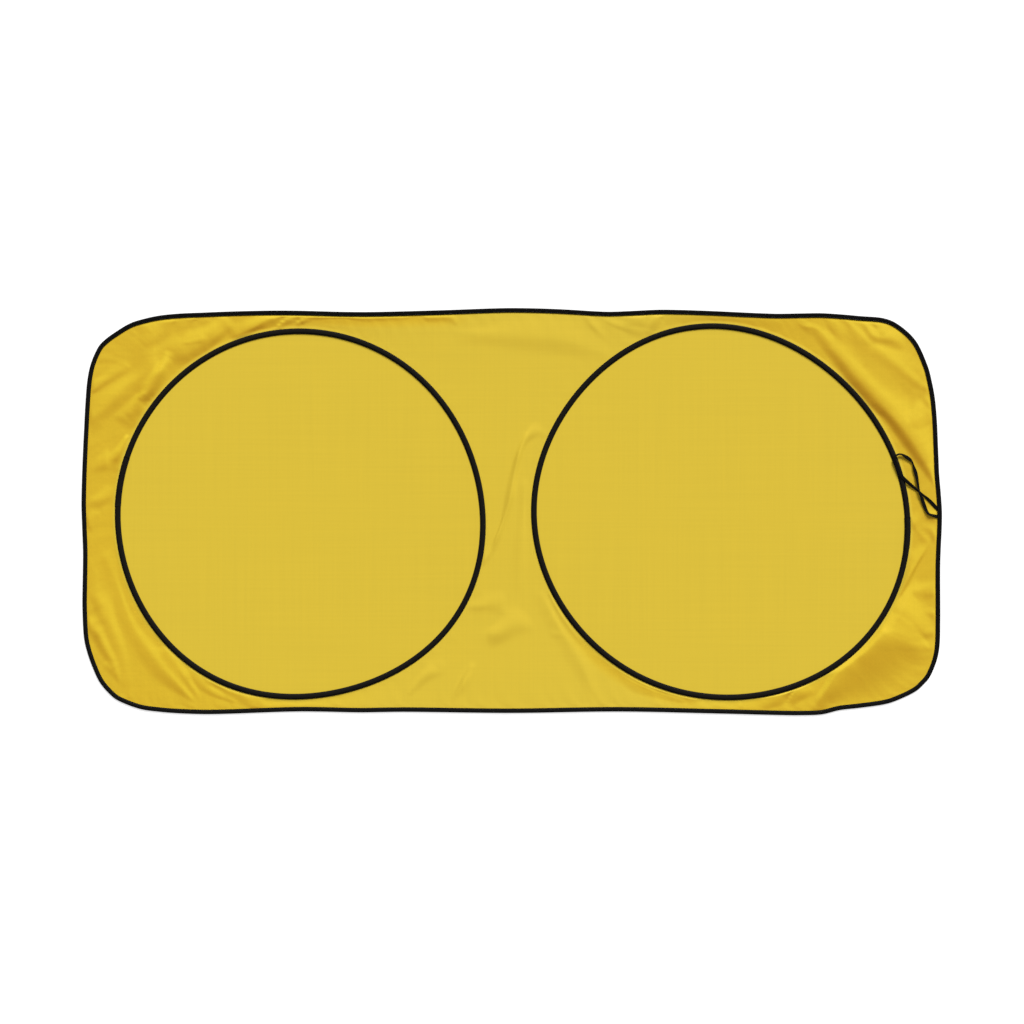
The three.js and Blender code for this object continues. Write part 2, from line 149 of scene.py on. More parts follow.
def make_floor():
    """One square of opal glass: a matt pale surface that also glows by itself."""
    low, high = -floor_half, floor_half
    mesh = bpy.data.meshes.new("studio_floor")
    corners = [(low, low), (high, low), (high, high), (low, high)]
    mesh.from_pydata([(x, y, floor_height) for x, y in corners], [], [(0, 1, 2, 3)])
    floor = bpy.data.objects.new("studio_floor", mesh)
    bpy.context.collection.objects.link(floor)
    material, tree = new_material("opal_glass")
    glass = add_node(
        tree,
        "ShaderNodeBsdfPrincipled",
        {
            "Base Color": linear("bcbcbc"),
            "Roughness": 0.9,
            "Emission Color": white,
            "Emission Strength": 0.62,
        },
    )
    finish_material(tree, glass)
    mesh.materials.append(material)


def set_up_light():
    """A soft sun as the key light, and an even white sky as the fill."""
    sun = bpy.data.lights.new("key_light", "SUN")
    sun.energy = sun_strength
    sun.angle = sun_spread
    key = bpy.data.objects.new("key_light", sun)
    key.rotation_euler = sun_turn
    bpy.context.collection.objects.link(key)
    sky = bpy.data.worlds.new("studio_sky")
    sky.use_nodes = True
    sky.node_tree.nodes["Background"].inputs["Color"].default_value = white
    sky.node_tree.nodes["Background"].inputs["Strength"].default_value = sky_strength
    bpy.context.scene.world = sky
    bpy.context.scene.view_settings.view_transform = "Standard"


make_floor()
set_up_light()
print("floor, m:", 2 * floor_half, "across, sun:", sun_strength, "sky:", sky_strength)

# %% [markdown]
# ## From numpy arrays to meshes
# Every new piece here is a grid of points: rays times rings for the cloth, and stations along a
# path times corners of a section for the tapes. One function writes any of them as a mesh. It sees
# to it that the faces point outwards, and stores a UV map in metres, which the weave of the cloth
# and the ribs of the tapes follow. Writing whole arrays at once is far quicker than one by one.

# %% Write a mesh


def point_inwards(points, faces):
    """Whether the faces point inwards, which they do if the volume that they enclose is negative.
    It is a sum over triangles: one corner, dotted with the cross product of the other two."""
    a, b, c, d = (points[faces[:, i]] for i in (0, 1, 2, -1))
    volume = np.einsum("ij,ij->", a, np.cross(b, c)) + np.einsum("ij,ij->", a, np.cross(c, d))
    return volume < 0


def build_piece(name, points, faces, materials, uv=None, face_material=None, slack=None):
    """A mesh object from points (n, 3) in mm, faces (m, 3 or 4) and UV (m, 3 or 4, 2) in mm. It
    rides on the one body. face_material is each face's material, and slack is how loose the cloth
    is at each point."""
    if point_inwards(points, faces):
        faces = faces[:, ::-1]
        uv = None if uv is None else uv[:, ::-1]
    mesh = bpy.data.meshes.new(name)
    corners = faces.shape[1]
    mesh.vertices.add(len(points))
    mesh.vertices.foreach_set("co", (points * mm).astype(np.float32).ravel())
    mesh.loops.add(faces.size)
    mesh.loops.foreach_set("vertex_index", faces.astype(np.int32).ravel())
    mesh.polygons.add(len(faces))
    mesh.polygons.foreach_set("loop_start", np.arange(0, faces.size, corners, dtype=np.int32))
    mesh.update(calc_edges=True)
    mesh.polygons.foreach_set("use_smooth", np.full(len(faces), True))
    if face_material is not None:
        mesh.polygons.foreach_set("material_index", face_material.astype(np.int32))
    if uv is not None:
        layer = mesh.uv_layers.new(name="weave")
        layer.data.foreach_set("uv", (uv * mm).astype(np.float32).ravel())
    if slack is not None:
        layer = mesh.attributes.new("slack", "FLOAT", "POINT")
        layer.data.foreach_set("value", slack.astype(np.float32))
    for material in materials:
        mesh.materials.append(material)
    piece = bpy.data.objects.new(name, mesh)
    bpy.context.collection.objects.link(piece)
    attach(piece, body)
    print(name, "points:", len(points), "triangles:", len(faces) * (corners - 2))
    return piece


small_tetrahedron = np.array([[0, 0, 0], [1, 0, 0], [0, 1, 0], [0, 0, 1]])
outer_faces = np.array([[0, 2, 1], [0, 1, 3], [0, 3, 2], [1, 2, 3]])
print("outer faces point inwards:", point_inwards(small_tetrahedron, outer_faces))

# %% [markdown]
# ## Curves through points
# The bound edge, the elastic and the crests of the folds are known at a few points each. A smooth
# curve is put through them and then cut into even steps, so that faces along it are equally long.

# %% Curves


def lengths_along(points):
    """Distance along a run of points, from its first point."""
    return np.concatenate([[0], np.cumsum(np.linalg.norm(np.diff(points, axis=0), axis=1))])


def take_at(points, along, wanted):
    """Points at the wanted distances along a run, between its neighbouring points."""
    return np.stack([np.interp(wanted, along, column) for column in points.T], 1)


def smooth_run(points, steps, closed=False):
    """Catmull-Rom curve through points. Between two of them it is the cubic that starts and ends
    along the lines that join each one's neighbours. An open run repeats its end points."""
    points = np.asarray(points, float)
    if closed:
        p0, p1, p2, p3 = (np.roll(points, shift, axis=0) for shift in (1, 0, -1, -2))
    else:
        padded = np.vstack([points[:1], points, points[-1:]])
        p0, p1, p2, p3 = padded[:-3], padded[1:-2], padded[2:-1], padded[3:]
    t = np.linspace(0, 1, steps, endpoint=False)[:, None, None]
    speed1, speed2 = (p2 - p0) / 2, (p3 - p1) / 2
    cubic = p1 + speed1 * t + (3 * (p2 - p1) - 2 * speed1 - speed2) * t**2
    cubic = cubic + (2 * (p1 - p2) + speed1 + speed2) * t**3
    run = cubic.transpose(1, 0, 2).reshape(-1, points.shape[1])
    return run if closed else np.vstack([run, points[-1:]])


def even_run(points, spacing, closed=False):
    """The same run with its points an even distance apart, near the wanted spacing."""
    run = np.vstack([points, points[:1]]) if closed else points
    along = lengths_along(run)
    count = max(2, round(along[-1] / spacing))
    return take_at(run, along, np.linspace(0, along[-1], count + 1)[: count if closed else None])


def outward_of(loop):
    """Unit direction out of a closed counterclockwise loop, at each of its points."""
    along = np.roll(loop, -1, axis=0) - np.roll(loop, 1, axis=0)
    along /= np.linalg.norm(along, axis=1, keepdims=True)
    return np.stack([along[:, 1], -along[:, 0]], 1)


def smoothstep(x, low, high):
    """Rises from 0 at low to 1 at high, as 3 t squared minus 2 t cubed."""
    t = np.clip((x - low) / (high - low), 0, 1)
    return t * t * (3 - 2 * t)


right_angle = even_run(smooth_run([(0, 0), (10, 0), (10, 10)], 8), 2.0)
print("a bent run in steps of 2:", len(right_angle), "points")

# %% [markdown]
# ## A section carried along a path
# A tape has the same section everywhere, only its place changes. So the tapes and the elastic are
# swept: the section's corners are placed anew at each station of a path, and quads join them. A
# closed path, such as a hoop, joins its last station to its first.

# %% Sweep


def sweep(path, out, up, section, closed):
    """Carries a section along a path. A corner lies at the path's point, plus its first number
    times the direction out, plus its second times the direction up. The section's corners run along
    one side and back along the other, so that quads between the sides close the ends."""
    section = np.broadcast_to(section, (len(path), *np.shape(section)[-2:]))
    points = path[:, None] + section[..., :1] * out[:, None] + section[..., 1:] * up[:, None]
    stations, corners = points.shape[:2]
    i, j = np.meshgrid(np.arange(stations - (not closed)), np.arange(corners), indexing="ij")
    i, j = i.ravel(), j.ravel()
    i_next, j_next = (i + 1) % stations, (j + 1) % corners
    faces = np.stack([i, i_next, i_next, i], 1) * corners + np.stack([j, j, j_next, j_next], 1)
    along = lengths_along(np.vstack([path, path[:1]]))
    around = lengths_along(np.vstack([section[0], section[0][:1]]))
    u = np.stack([along[i], along[i + 1], along[i + 1], along[i]], 1)
    v = np.stack([around[j], around[j], around[j + 1], around[j + 1]], 1)
    uv = np.stack([u, v], -1)
    if not closed:
        j = np.arange(corners // 2 - 1)
        cap = np.stack([j, j + 1, corners - 2 - j, corners - 1 - j], 1)
        faces = np.vstack([faces, cap[:, ::-1], cap + (stations - 1) * corners])
        uv = np.concatenate([uv, np.zeros((2 * len(cap), 4, 2))])
    return points.reshape(-1, 3), faces, uv


square = np.array([(-1, -1), (1, -1), (1, 1), (-1, 1)])
straight = np.array([(0, 0, 0), (10, 0, 0)])
sideways, upwards = np.tile([0, 1, 0], (2, 1)), np.tile([0, 0, 1], (2, 1))
print("faces of a square bar:", len(sweep(straight, sideways, upwards, square, closed=False)[1]))

# %% [markdown]
# ## Black tape and elastic
# The binding, the hoops' casings and the loop are narrow polyester goods, dyed black. A woven tape
# has fine ribs across its length, and a braided elastic has cords along it. Both are matt, so they
# look almost equally dark from all sides, and their black is a little warm. The ribs are drawn 1 mm
# apart, twice as coarse as the real ones, which would be too fine to show.

# %% Materials of the black tapes
rib_spacing = 0.001
rib_depth = 0.0002
polyester_ior = 1.6


def make_ribbed_material(name, colour, roughness, across):
    """Black narrow fabric: the bump is a sine wave of the UV, across the tape or along it."""
    material, tree = new_material(name)
    uv = add_node(tree, "ShaderNodeUVMap", uv_map="weave")
    split = add_node(tree, "ShaderNodeSeparateXYZ", links={"Vector": uv.outputs["UV"]})
    turns = add_node(
        tree,
        "ShaderNodeMath",
        {1: 2 * np.pi / rib_spacing},
        {0: split.outputs["X" if across else "Y"]},
        operation="MULTIPLY",
    )
    wave = add_node(tree, "ShaderNodeMath", links={0: turns.outputs[0]}, operation="SINE")
    bump = add_node(
        tree,
        "ShaderNodeBump",
        {"Strength": 0.5, "Distance": rib_depth},
        {"Height": wave.outputs[0]},
    )
    finish = {"Roughness": roughness, "IOR": polyester_ior, "Specular IOR Level": 0.08}
    tape = add_node(
        tree,
        "ShaderNodeBsdfPrincipled",
        {"Base Color": linear(colour), **finish},
        {"Normal": bump.outputs["Normal"]},
    )
    finish_material(tree, tape)
    return material


binding_tape = make_ribbed_material("woven_binding_tape", "0b0a08", 0.9, across=True)
casing_tape = make_ribbed_material("woven_casing_tape", "13110d", 0.9, across=True)
elastic_braid = make_ribbed_material("braided_elastic", "090806", 0.85, across=False)
print("black fabrics:", [fabric.name for fabric in (binding_tape, casing_tape, elastic_braid)])

# %% [markdown]
# ## Sizes of the sheet, the tapes and the hoops
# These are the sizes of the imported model, in millimetres. Each hoop is a circle that the cloth
# pulls out of round: a pull has its number of lobes, its amount, and the direction of one lobe in
# degrees. The wire's two ends meet at the join, in a steel ferrule.

# %% Sizes
cloth_thickness = 0.4
layer_gap = 0.3
tape_thickness = 0.5
binding_width = 8.0
casing_width = 10.0
wire_radius = 0.8
ferrule_radius = 1.5
cloth_at_edge = tape_thickness + layer_gap
binding_height = 2 * cloth_at_edge + cloth_thickness
hoops = {
    "left": {
        "centre": np.array([-369.0, -6.4]),
        "radius": 319.0,
        "join": np.radians(167),
        "pulls": [(2, 1, -49), (3, 2.6, -23), (4, 1.7, -29), (5, 0.6, -36)],
    },
    "right": {
        "centre": np.array([364.5, -4.1]),
        "radius": 323.3,
        "join": np.radians(-7),
        "pulls": [(2, 7.2, -41), (3, 3.5, -29), (4, 1, 0), (5, 0.7, 30)],
    },
}


def hoop_radius_at(hoop, angle):
    """Radius plus, for each pull, its amount times the cosine of its lobes round the hoop."""
    pulls = (
        amount * np.cos(lobes * (angle - np.radians(to))) for lobes, amount, to in hoop["pulls"]
    )
    return hoop["radius"] + sum(pulls)


def hoop_point(hoop, angle, offset=0.0):
    """Point of a hoop at an angle, moved outwards by an offset."""
    r = hoop_radius_at(hoop, angle) + offset
    return hoop["centre"] + np.stack([r * np.cos(angle), r * np.sin(angle)], -1)


for side, hoop in hoops.items():
    print(side, "hoop at 0 degrees, mm:", np.round(hoop_point(hoop, 0.0), 1))

# %% [markdown]
# ## The sheet's edge
# The edge is no plain shape, since the hoops pull it in and out, so it is read from the packed
# binding itself: its outermost points, put in order by their angle round the middle, become one
# smooth closed curve. Everything near the edge is placed by its distance in from this curve.

# %% Edge
edge_step = 2.0


def read_edge():
    """The sheet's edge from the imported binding: the points at half its height, sorted by angle."""
    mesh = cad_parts["edge_binding"].data
    points = np.empty(len(mesh.vertices) * 3, np.float32)
    mesh.vertices.foreach_get("co", points)
    points = points.reshape(-1, 3) / mm
    nose = np.abs(points[:, 2] - binding_height / 2) < 0.05
    edge = np.unique(np.round(points[nose, :2], 2), axis=0)
    return edge[np.argsort(np.arctan2(edge[:, 1], edge[:, 0]))]


packed_edge = read_edge()
edge_curve = smooth_run(packed_edge, 24, closed=True)
edge_loop = even_run(edge_curve, edge_step, closed=True)
edge_outward = outward_of(edge_loop)
edge_length = len(edge_loop) * edge_step
print("packed edge points:", len(packed_edge), "edge length, mm:", round(edge_length))

# %% [markdown]
# ## The folds
# Inside each hoop the taffeta is stretched flat. Between the hoops and the bound edge there is more
# cloth than the straight way needs, so it stands up in folds. The large ones are those of the
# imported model, the small ones are creases of this cloth.
#
# A fold is a row of points along its crest. Each is x, y, the height there, and how far the fold
# spreads to the left and to the right of its run, in millimetres. Light from the far side makes the
# slope that faces the near side dark, so a fold with one short slope shows as a dark stroke.

# %% Table of folds
# Each fold is a sharpness, under 1 for a crisp crest, and its rows.
folds = [
    (1.2, [
        (-501, 323, 1.1, 18, 26), (-518, 308, 2.3, 17, 26), (-534, 299, 2.4, 21, 28),
        (-575, 278, 2.1, 25, 38), (-601, 281, 0.9, 41, 22)
    ]),
    (1.1, [(-556, 338, 1, 8, 12), (-564, 334, 0.5, 11, 18), (-577, 312, 0.2, 9, 15)]),
    (0.9, [
        (-625, 243, 1.1, 32, 29), (-668, 220, 1.6, 32, 21), (-694, 195, 2.1, 22, 28),
        (-727, 164, 1.1, 24, 24)
    ]),
    (1, [(-696, 168, 0, 9, 5), (-672, 162, 0.6, 18, 17), (-652, 157, 0.7, 14, 14)]),
    (1, [(-732, 211, 1, 14, 7), (-697, 237, 0.8, 16, 12), (-673, 251, 0.4, 20, 12)]),
    (1.1, [
        (-736, 73, 0, 8, 11), (-710, 85, 1.2, 26, 17), (-701, 85, 0.7, 23, 19),
        (-682, 73, 0.4, 13, 6)
    ]),
    (1.1, [(-737, 13, 0.2, 9, 19), (-718, 20, 1.2, 14, 14), (-695, 34, 0.2, 23, 12)]),
    (1.1, [(-739, -18, 0.9, 9, 20), (-728, -5, 0.6, 12, 14), (-715, -3, 0, 7, 6)]),
    (1.1, [
        (-645, 291, 0.2, 15, 14), (-626, 306, 1.4, 35, 23), (-605, 326, 0.8, 15, 22),
        (-595, 338, 1.8, 13, 14)
    ]),
    (1, [(-634, 310, 0, 20, 36), (-626, 266, 1.9, 24, 44), (-627, 227, 0.7, 20, 44)]),
    (0.8, [
        (-601, 271, 1.3, 19, 13), (-611, 249, 5, 18, 11), (-627, 218, 5.8, 17, 21),
        (-638, 205, 5.7, 16, 17)
    ]),
    (1, [(-647, 195, 3.5, 17, 14), (-656, 177, 2.4, 21, 23), (-675, 169, 0.4, 22, 16)]),
    (0.6, [(-672, 129, 1.9, 6, 6), (-680, 108, 4.2, 12, 13), (-688, 94, 2.4, 17, 19)]),
    (1.1, [
        (-557, -282, 0.7, 27, 16), (-528, -309, 0.7, 11, 12), (-500, -323, 0.5, 14, 8),
        (-467, -332, 0.1, 11, 10)
    ]),
    (1.1, [(-523, -289, 1.4, 15, 17), (-484, -309, 1.6, 13, 17), (-447, -326, 0.9, 21, 22)]),
    (1, [
        (-725, -140, 0.2, 30, 21), (-711, -164, 1.3, 20, 21), (-703, -191, 1.4, 17, 33),
        (-681, -248, 0.7, 15, 22), (-674, -293, 0.3, 19, 19)
    ]),
    (0.9, [
        (-734, -201, 1.3, 26, 21), (-723, -210, 1.7, 16, 15), (-709, -237, 1.5, 13, 15),
        (-692, -269, 0.7, 11, 8)
    ]),
    (0.9, [(-709, -267, 0.3, 13, 6), (-692, -277, 0.9, 12, 13), (-684, -295, 0.2, 6, 5)]),
    (0.9, [
        (-707, -81, 0.5, 21, 14), (-685, -137, 0.5, 7, 26), (-660, -202, 0.8, 12, 22),
        (-617, -262, 1.5, 22, 29), (-586, -296, 1.5, 15, 22), (-554, -331, 0.1, 6, 5)
    ]),
    (1, [(-602, -246, 1, 22, 17), (-572, -286, 1.2, 13, 15), (-545, -323, 0.1, 6, 9)]),
    (1.1, [(-730, -102, 0.2, 11, 13), (-724, -151, 0.3, 13, 14), (-710, -189, 0.3, 11, 12)]),
    (0.9, [(-144, 345, 1.5, 14, 17), (-110, 343, 1, 11, 16), (-98, 330, 0.5, 15, 7)]),
    (0.9, [
        (-478, 309, 1.1, 25, 15), (-449, 322, 2.3, 21, 10), (-421, 339, 1.8, 12, 19),
        (-407, 344, 2.1, 14, 10)
    ]),
    (1, [(-409, 319, 0.3, 5, 6), (-394, 333, 1.2, 6, 11), (-382, 338, 0.8, 12, 11)]),
    (1, [(-375, 323, 0, 5, 5), (-367, 332, 1.1, 6, 7), (-347, 338, 0, 12, 9)]),
    (0.6, [
        (-401, 343, 1.1, 7, 6), (-348, 346, 3.1, 20, 14), (-297, 342, 1.6, 10, 7),
        (-252, 339, 1, 6, 10), (-184, 341, 0.8, 10, 9)
    ]),
    (0.9, [
        (-104, 311, 0, 12, 28), (-41, 308, 0.8, 20, 22), (26, 306, 1.1, 44, 31),
        (94, 299, 1, 43, 32), (156, 277, 0.3, 23, 23)
    ]),
    (0.9, [
        (126, 345, 0.3, 9, 6), (140, 325, 0.5, 12, 8), (156, 310, 0.2, 10, 9), (168, 294, 0, 8, 5)
    ]),
    (1, [(167, 332, 0.2, 7, 7), (192, 323, 0.5, 12, 9), (226, 316, 0.7, 18, 17)]),
    (1, [(262, 345, 1.6, 7, 6), (252, 339, 1.2, 14, 10), (240, 316, 0.7, 11, 12)]),
    (1.2, [(201, 336, 0.5, 10, 15), (221, 335, 1.1, 18, 15), (249, 330, 0.4, 14, 17)]),
    (0.9, [
        (22, 49, 0.5, 12, 15), (20, -1, 0.6, 7, 12), (16, -60, 0.9, 16, 19), (13, -131, 0.2, 13, 18)
    ]),
    (1.1, [
        (61, 136, 0.1, 10, 9), (44, 142, 0.6, 13, 16), (28, 135, 1.5, 14, 8), (18, 118, 0.4, 11, 7)
    ]),
    (0.8, [
        (24, 131, 0.8, 9, 8), (13, 102, 3.4, 10, 8), (4, 65, 2.8, 11, 10), (-2, 30, 3.1, 12, 12),
        (-9, 1, 2.4, 9, 9), (-16, -18, 2.3, 10, 5), (-26, -44, 2.2, 11, 5), (-35, -66, 0.9, 11, 8),
        (-50, -85, 1.1, 10, 10)
    ]),
    (0.9, [(-79, -167, 0, 8, 8), (-50, -163, 0.9, 22, 14), (-21, -156, 0.7, 22, 16)]),
    (1.1, [(-44, -171, 0, 6, 6), (-23, -169, 0.4, 14, 12), (-8, -176, 0.2, 12, 10)]),
    (1, [
        (-45, -217, 0.2, 16, 26), (-24, -211, 1.9, 20, 24), (8, -194, 1.3, 35, 26),
        (40, -201, 0, 17, 11)
    ]),
    (1, [(-177, -315, 0.3, 8, 8), (-152, -285, 1.4, 11, 16), (-129, -272, 0.6, 26, 21)]),
    (0.8, [(-99, -323, 0.2, 7, 8), (-87, -299, 1.6, 6, 13), (-69, -270, 0.7, 11, 9)]),
    (0.8, [
        (52, -146, 0.4, 11, 19), (73, -184, 0.8, 8, 24), (90, -213, 0.8, 9, 20),
        (109, -243, 0.9, 16, 26), (128, -280, 0.9, 25, 21), (144, -325, 0, 12, 14)
    ]),
    (0.9, [(63, -208, 0, 5, 5), (75, -213, 0.4, 6, 10), (93, -215, 0, 5, 5)]),
    (0.6, [
        (152, -248, 0.1, 9, 14), (177, -268, 0.4, 10, 18), (204, -284, 1, 12, 12),
        (239, -298, 2.9, 20, 15), (316, -318, 2.7, 20, 22)
    ]),
    (1, [
        (192, -287, 0.2, 5, 12), (216, -301, 0.7, 6, 18), (255, -317, 0.4, 5, 10),
        (294, -329, 0.4, 8, 7)
    ]),
    (1, [
        (532, 312, 0.1, 21, 14), (576, 268, 2.7, 36, 20), (614, 219, 4.9, 50, 23),
        (661, 171, 4.1, 48, 19), (694, 131, 4.4, 45, 22), (746, 48, 1.4, 25, 12)
    ]),
    (1.3, [
        (579, 329, 0.1, 30, 38), (616, 294, 2.4, 24, 37), (650, 258, 2.7, 46, 38),
        (691, 223, 1.1, 48, 39), (725, 214, 0, 30, 55)
    ]),
    (0.9, [
        (637, 282, 0.3, 14, 19), (675, 252, 0.5, 14, 14), (706, 226, 0.6, 11, 13),
        (725, 216, 0.5, 6, 9)
    ]),
    (0.9, [
        (612, 334, 0.9, 10, 12), (631, 308, 2.4, 18, 14), (662, 300, 2.1, 27, 18),
        (684, 287, 0.3, 11, 12)
    ]),
    (1, [(626, 335, 2.2, 8, 11), (634, 328, 0.9, 10, 9), (646, 319, 1.4, 18, 14)]),
    (0.8, [
        (497, 334, 0, 11, 5), (508, 324, 0.5, 12, 9), (529, 319, 0.7, 12, 16),
        (552, 299, 0.4, 14, 13)
    ]),
    (0.9, [
        (578, 338, 0.3, 7, 5), (607, 307, 0.3, 11, 15), (623, 286, 0.1, 16, 7),
        (618, 259, 0.2, 10, 10)
    ]),
    (1, [(551, 333, 0.1, 6, 9), (563, 317, 0.6, 23, 10), (582, 300, 0.2, 11, 12)]),
    (0.9, [(717, 202, 0, 7, 5), (724, 194, 0.7, 8, 12), (732, 185, 0.8, 7, 9)]),
    (1.3, [(694, 156, 0.2, 5, 15), (711, 167, 1.5, 36, 27), (738, 169, 0, 13, 6)]),
    (1.1, [(696, -23, 1.7, 12, 9), (716, -8, 0, 18, 17), (735, -6, 2.1, 6, 11)]),
    (1, [(705, -26, 0.1, 5, 8), (727, -29, 0.5, 10, 10), (737, -42, 1, 12, 10)]),
    (1, [(704, -28, 0.2, 5, 5), (721, -47, 0.5, 7, 10), (732, -54, 0, 7, 11)]),
    (0.9, [
        (726, -57, 0.3, 7, 10), (708, -85, 2.2, 6, 25), (684, -123, 4.1, 12, 13),
        (667, -149, 2.1, 9, 8)
    ]),
    (1, [(697, -137, 0.2, 13, 6), (713, -139, 1.1, 20, 19), (737, -140, 0.9, 22, 12)]),
    (1, [(721, -173, 0.1, 10, 7), (731, -178, 0.6, 12, 6), (741, -181, 0.8, 7, 6)]),
    (0.9, [(676, -183, 6.3, 79, 35), (718, -210, 1.6, 34, 22), (738, -213, 0.3, 8, 16)]),
    (1.2, [(483, -333, 0, 6, 10), (500, -313, 2.1, 14, 20), (523, -304, 0.5, 15, 18)]),
    (1.2, [(439, -336, 0.5, 17, 11), (463, -322, 1.9, 17, 20), (483, -309, 2.6, 10, 10)]),
    (0.9, [
        (530, -338, 0.6, 13, 16), (551, -308, 4, 14, 32), (575, -271, 5.8, 21, 66),
        (597, -252, 6.8, 24, 84), (621, -229, 9.2, 33, 92), (644, -213, 9.7, 35, 90),
        (671, -213, 7.3, 50, 69), (707, -224, 2.3, 45, 47), (730, -239, 0.6, 23, 19)
    ]),
    (1.1, [(-570, 294, 0.2, 6, 5), (-555, 296, 0.2, 7, 5), (-536, 300, 0.3, 9, 9)]),
    (1, [(560, -255, 0.2, 10, 14), (585, -232, 0.8, 10, 14), (606, -212, 0.2, 10, 14)]),
    (0.9, [(72, -142, 1.8, 11, 11), (96, -184, 1.1, 8, 16), (124, -220, 0.6, 11, 14)]),
]
print("folds:", len(folds), "highest crest, mm:", max(row[2] for _, rows in folds for row in rows))

# %% [markdown]
# ## How high a fold stands
# A fold bends, so the distance from its crest can't be taken from one straight line. But it bends
# gently enough that each place on the line between its ends has one place of the crest beside it.
# There the crest's own distance off the line, its height and its spreads are looked up.

# %% Height of one fold
crest_steps = 6
search_reach = 1.4  # how far beyond its crest a fold is looked for, in times its greatest spread


def fold_height(fold, points):
    """Height of one fold at some points, which are measured along and off the straight line between
    its ends. It is the crest's height there times a squared cosine, of a quarter turn times the
    share to the power of the sharpness. The share is the distance from the crest over the spread,
    and 1 at most."""
    sharpness, rows = fold
    run = smooth_run(rows, crest_steps)
    start, chord = run[0, :2], run[-1, :2] - run[0, :2]
    length = np.hypot(*chord)
    axes = np.array([chord, [-chord[1], chord[0]]]).T / length
    along, off = ((run[:, :2] - start) @ axes).T
    along = np.maximum.accumulate(along) + 1e-6 * np.arange(len(along))
    reach = search_reach * run[:, 3:].max()
    low, top = run[:, :2].min(0) - reach, run[:, :2].max(0) + reach
    near = np.flatnonzero(((points > low) & (points < top)).all(1))
    at, beside = ((points[near] - start) @ axes).T
    within = np.clip(at, 0, length)
    crest, high, left, right = (np.interp(within, along, col) for col in (off, *run[:, 2:].T))
    spread = np.where(beside > crest, left, right)
    share = np.hypot((beside - crest) / spread, (at - within) / np.minimum(left, right))
    height = np.zeros(len(points))
    height[near] = np.maximum(0, high) * np.cos(np.pi / 2 * np.minimum(1, share) ** sharpness) ** 2
    return height


first_crest = np.array([folds[0][1][0][:2]], float)
print("first fold at its first point, mm:", np.round(fold_height(folds[0], first_crest), 2))

# %% [markdown]
# ## Held down by the tapes
# Where a tape is sewn on, the cloth lies flat, however high the fold beside it would stand. So the
# folds are added up, and the sum is limited by how steeply the cloth can rise from the nearest
# tapes. A plain minimum of the three would leave a crease wherever one limit takes over from the
# next, so a smooth minimum is used.

# %% Height of the folded cloth
hoop_reach = casing_width / 2 + 1
binding_reach = binding_width + 1
steepest = 0.35  # how fast the cloth can rise from a tape
steeper_there = 1.1  # how much faster it rises from the right hoop at the lower right
there_x, there_y = (380, 480), (80, 180)  # mm right of the middle and below it: from none to all


def from_tapes(points, inset):
    """How far points are from each hoop's tape, from the nearer one, and from the binding."""
    gaps = []
    for hoop in hoops.values():
        out = points - hoop["centre"]
        angle = np.arctan2(out[:, 1], out[:, 0])
        gaps.append(np.hypot(*out.T) - hoop_radius_at(hoop, angle) - hoop_reach)
    from_hoops = np.maximum(0, np.minimum(*gaps))
    from_binding = np.maximum(0, inset - binding_reach)
    return gaps, from_hoops, from_binding


def folded_height(points, inset):
    """The cloth's underside without puckers: its rise to the binding, plus the folds. Their sum f
    is held down by the tapes, to 1 over the cube root of f ** -3 + a ** -3 + b ** -3, where a and b
    are the greatest heights that the steepest rise reaches from the hoop and from the binding. At
    the lower right a big fold stands up close beside the hoop's tape, so there a grows faster."""
    _, from_hoops, from_binding = from_tapes(points, inset)
    share = from_hoops / np.maximum(1e-6, from_hoops + from_binding)
    folded = sum(fold_height(fold, points) for fold in folds)
    lower_right = smoothstep(points[:, 0], *there_x) * smoothstep(-points[:, 1], *there_y)
    hoop_rise = steepest + steeper_there * lower_right
    limits = np.maximum(1e-6, [folded, hoop_rise * from_hoops, steepest * from_binding])
    return cloth_at_edge * smoothstep(share, 0, 1) + (limits**-3.0).sum(0) ** (-1 / 3)


big_fold = np.array([(644.0, -213.0)])
big_fold_inset = np.linalg.norm(big_fold - edge_loop, axis=1).min(keepdims=True)
print("height of the big fold, mm:", np.round(folded_height(big_fold, big_fold_inset), 2))

# %% [markdown]
# ## Puckers along the seams
# Sewing gathers cloth a little, so fine puckers run off every seam, square to it, and fade out over
# a few centimetres. They are too small and too many to place one by one: each seam has a sum of
# seeded waves along its length, and the distance from the seam fades them.

# %% Puckers
edge_pucker = 0.1
hoop_pucker = 0.07
shortest_pucker, longest_pucker = 14, 60
edge_fade, hoop_fade = 22, 20  # mm in which the puckers fade to about a third
ring_length = 2 * np.pi * 321
random = np.random.default_rng(7)


def seeded_waves(total, count=24):
    """Waves for a closed seam: each goes round it a whole number of times, so that it joins up."""
    cycles = np.round(total / random.uniform(shortest_pucker, longest_pucker, count))
    return 2 * np.pi / total * cycles, random.uniform(0, 2 * np.pi, count)


def ripple(along, waves):
    """The sum of the waves' cosines at the distances along the seam, with a spread of about 1."""
    turns, phases = waves
    return np.cos(along[..., None] * turns + phases).sum(-1) / np.sqrt(len(turns) / 2)


edge_waves = seeded_waves(edge_length)
ring_waves = seeded_waves(ring_length)


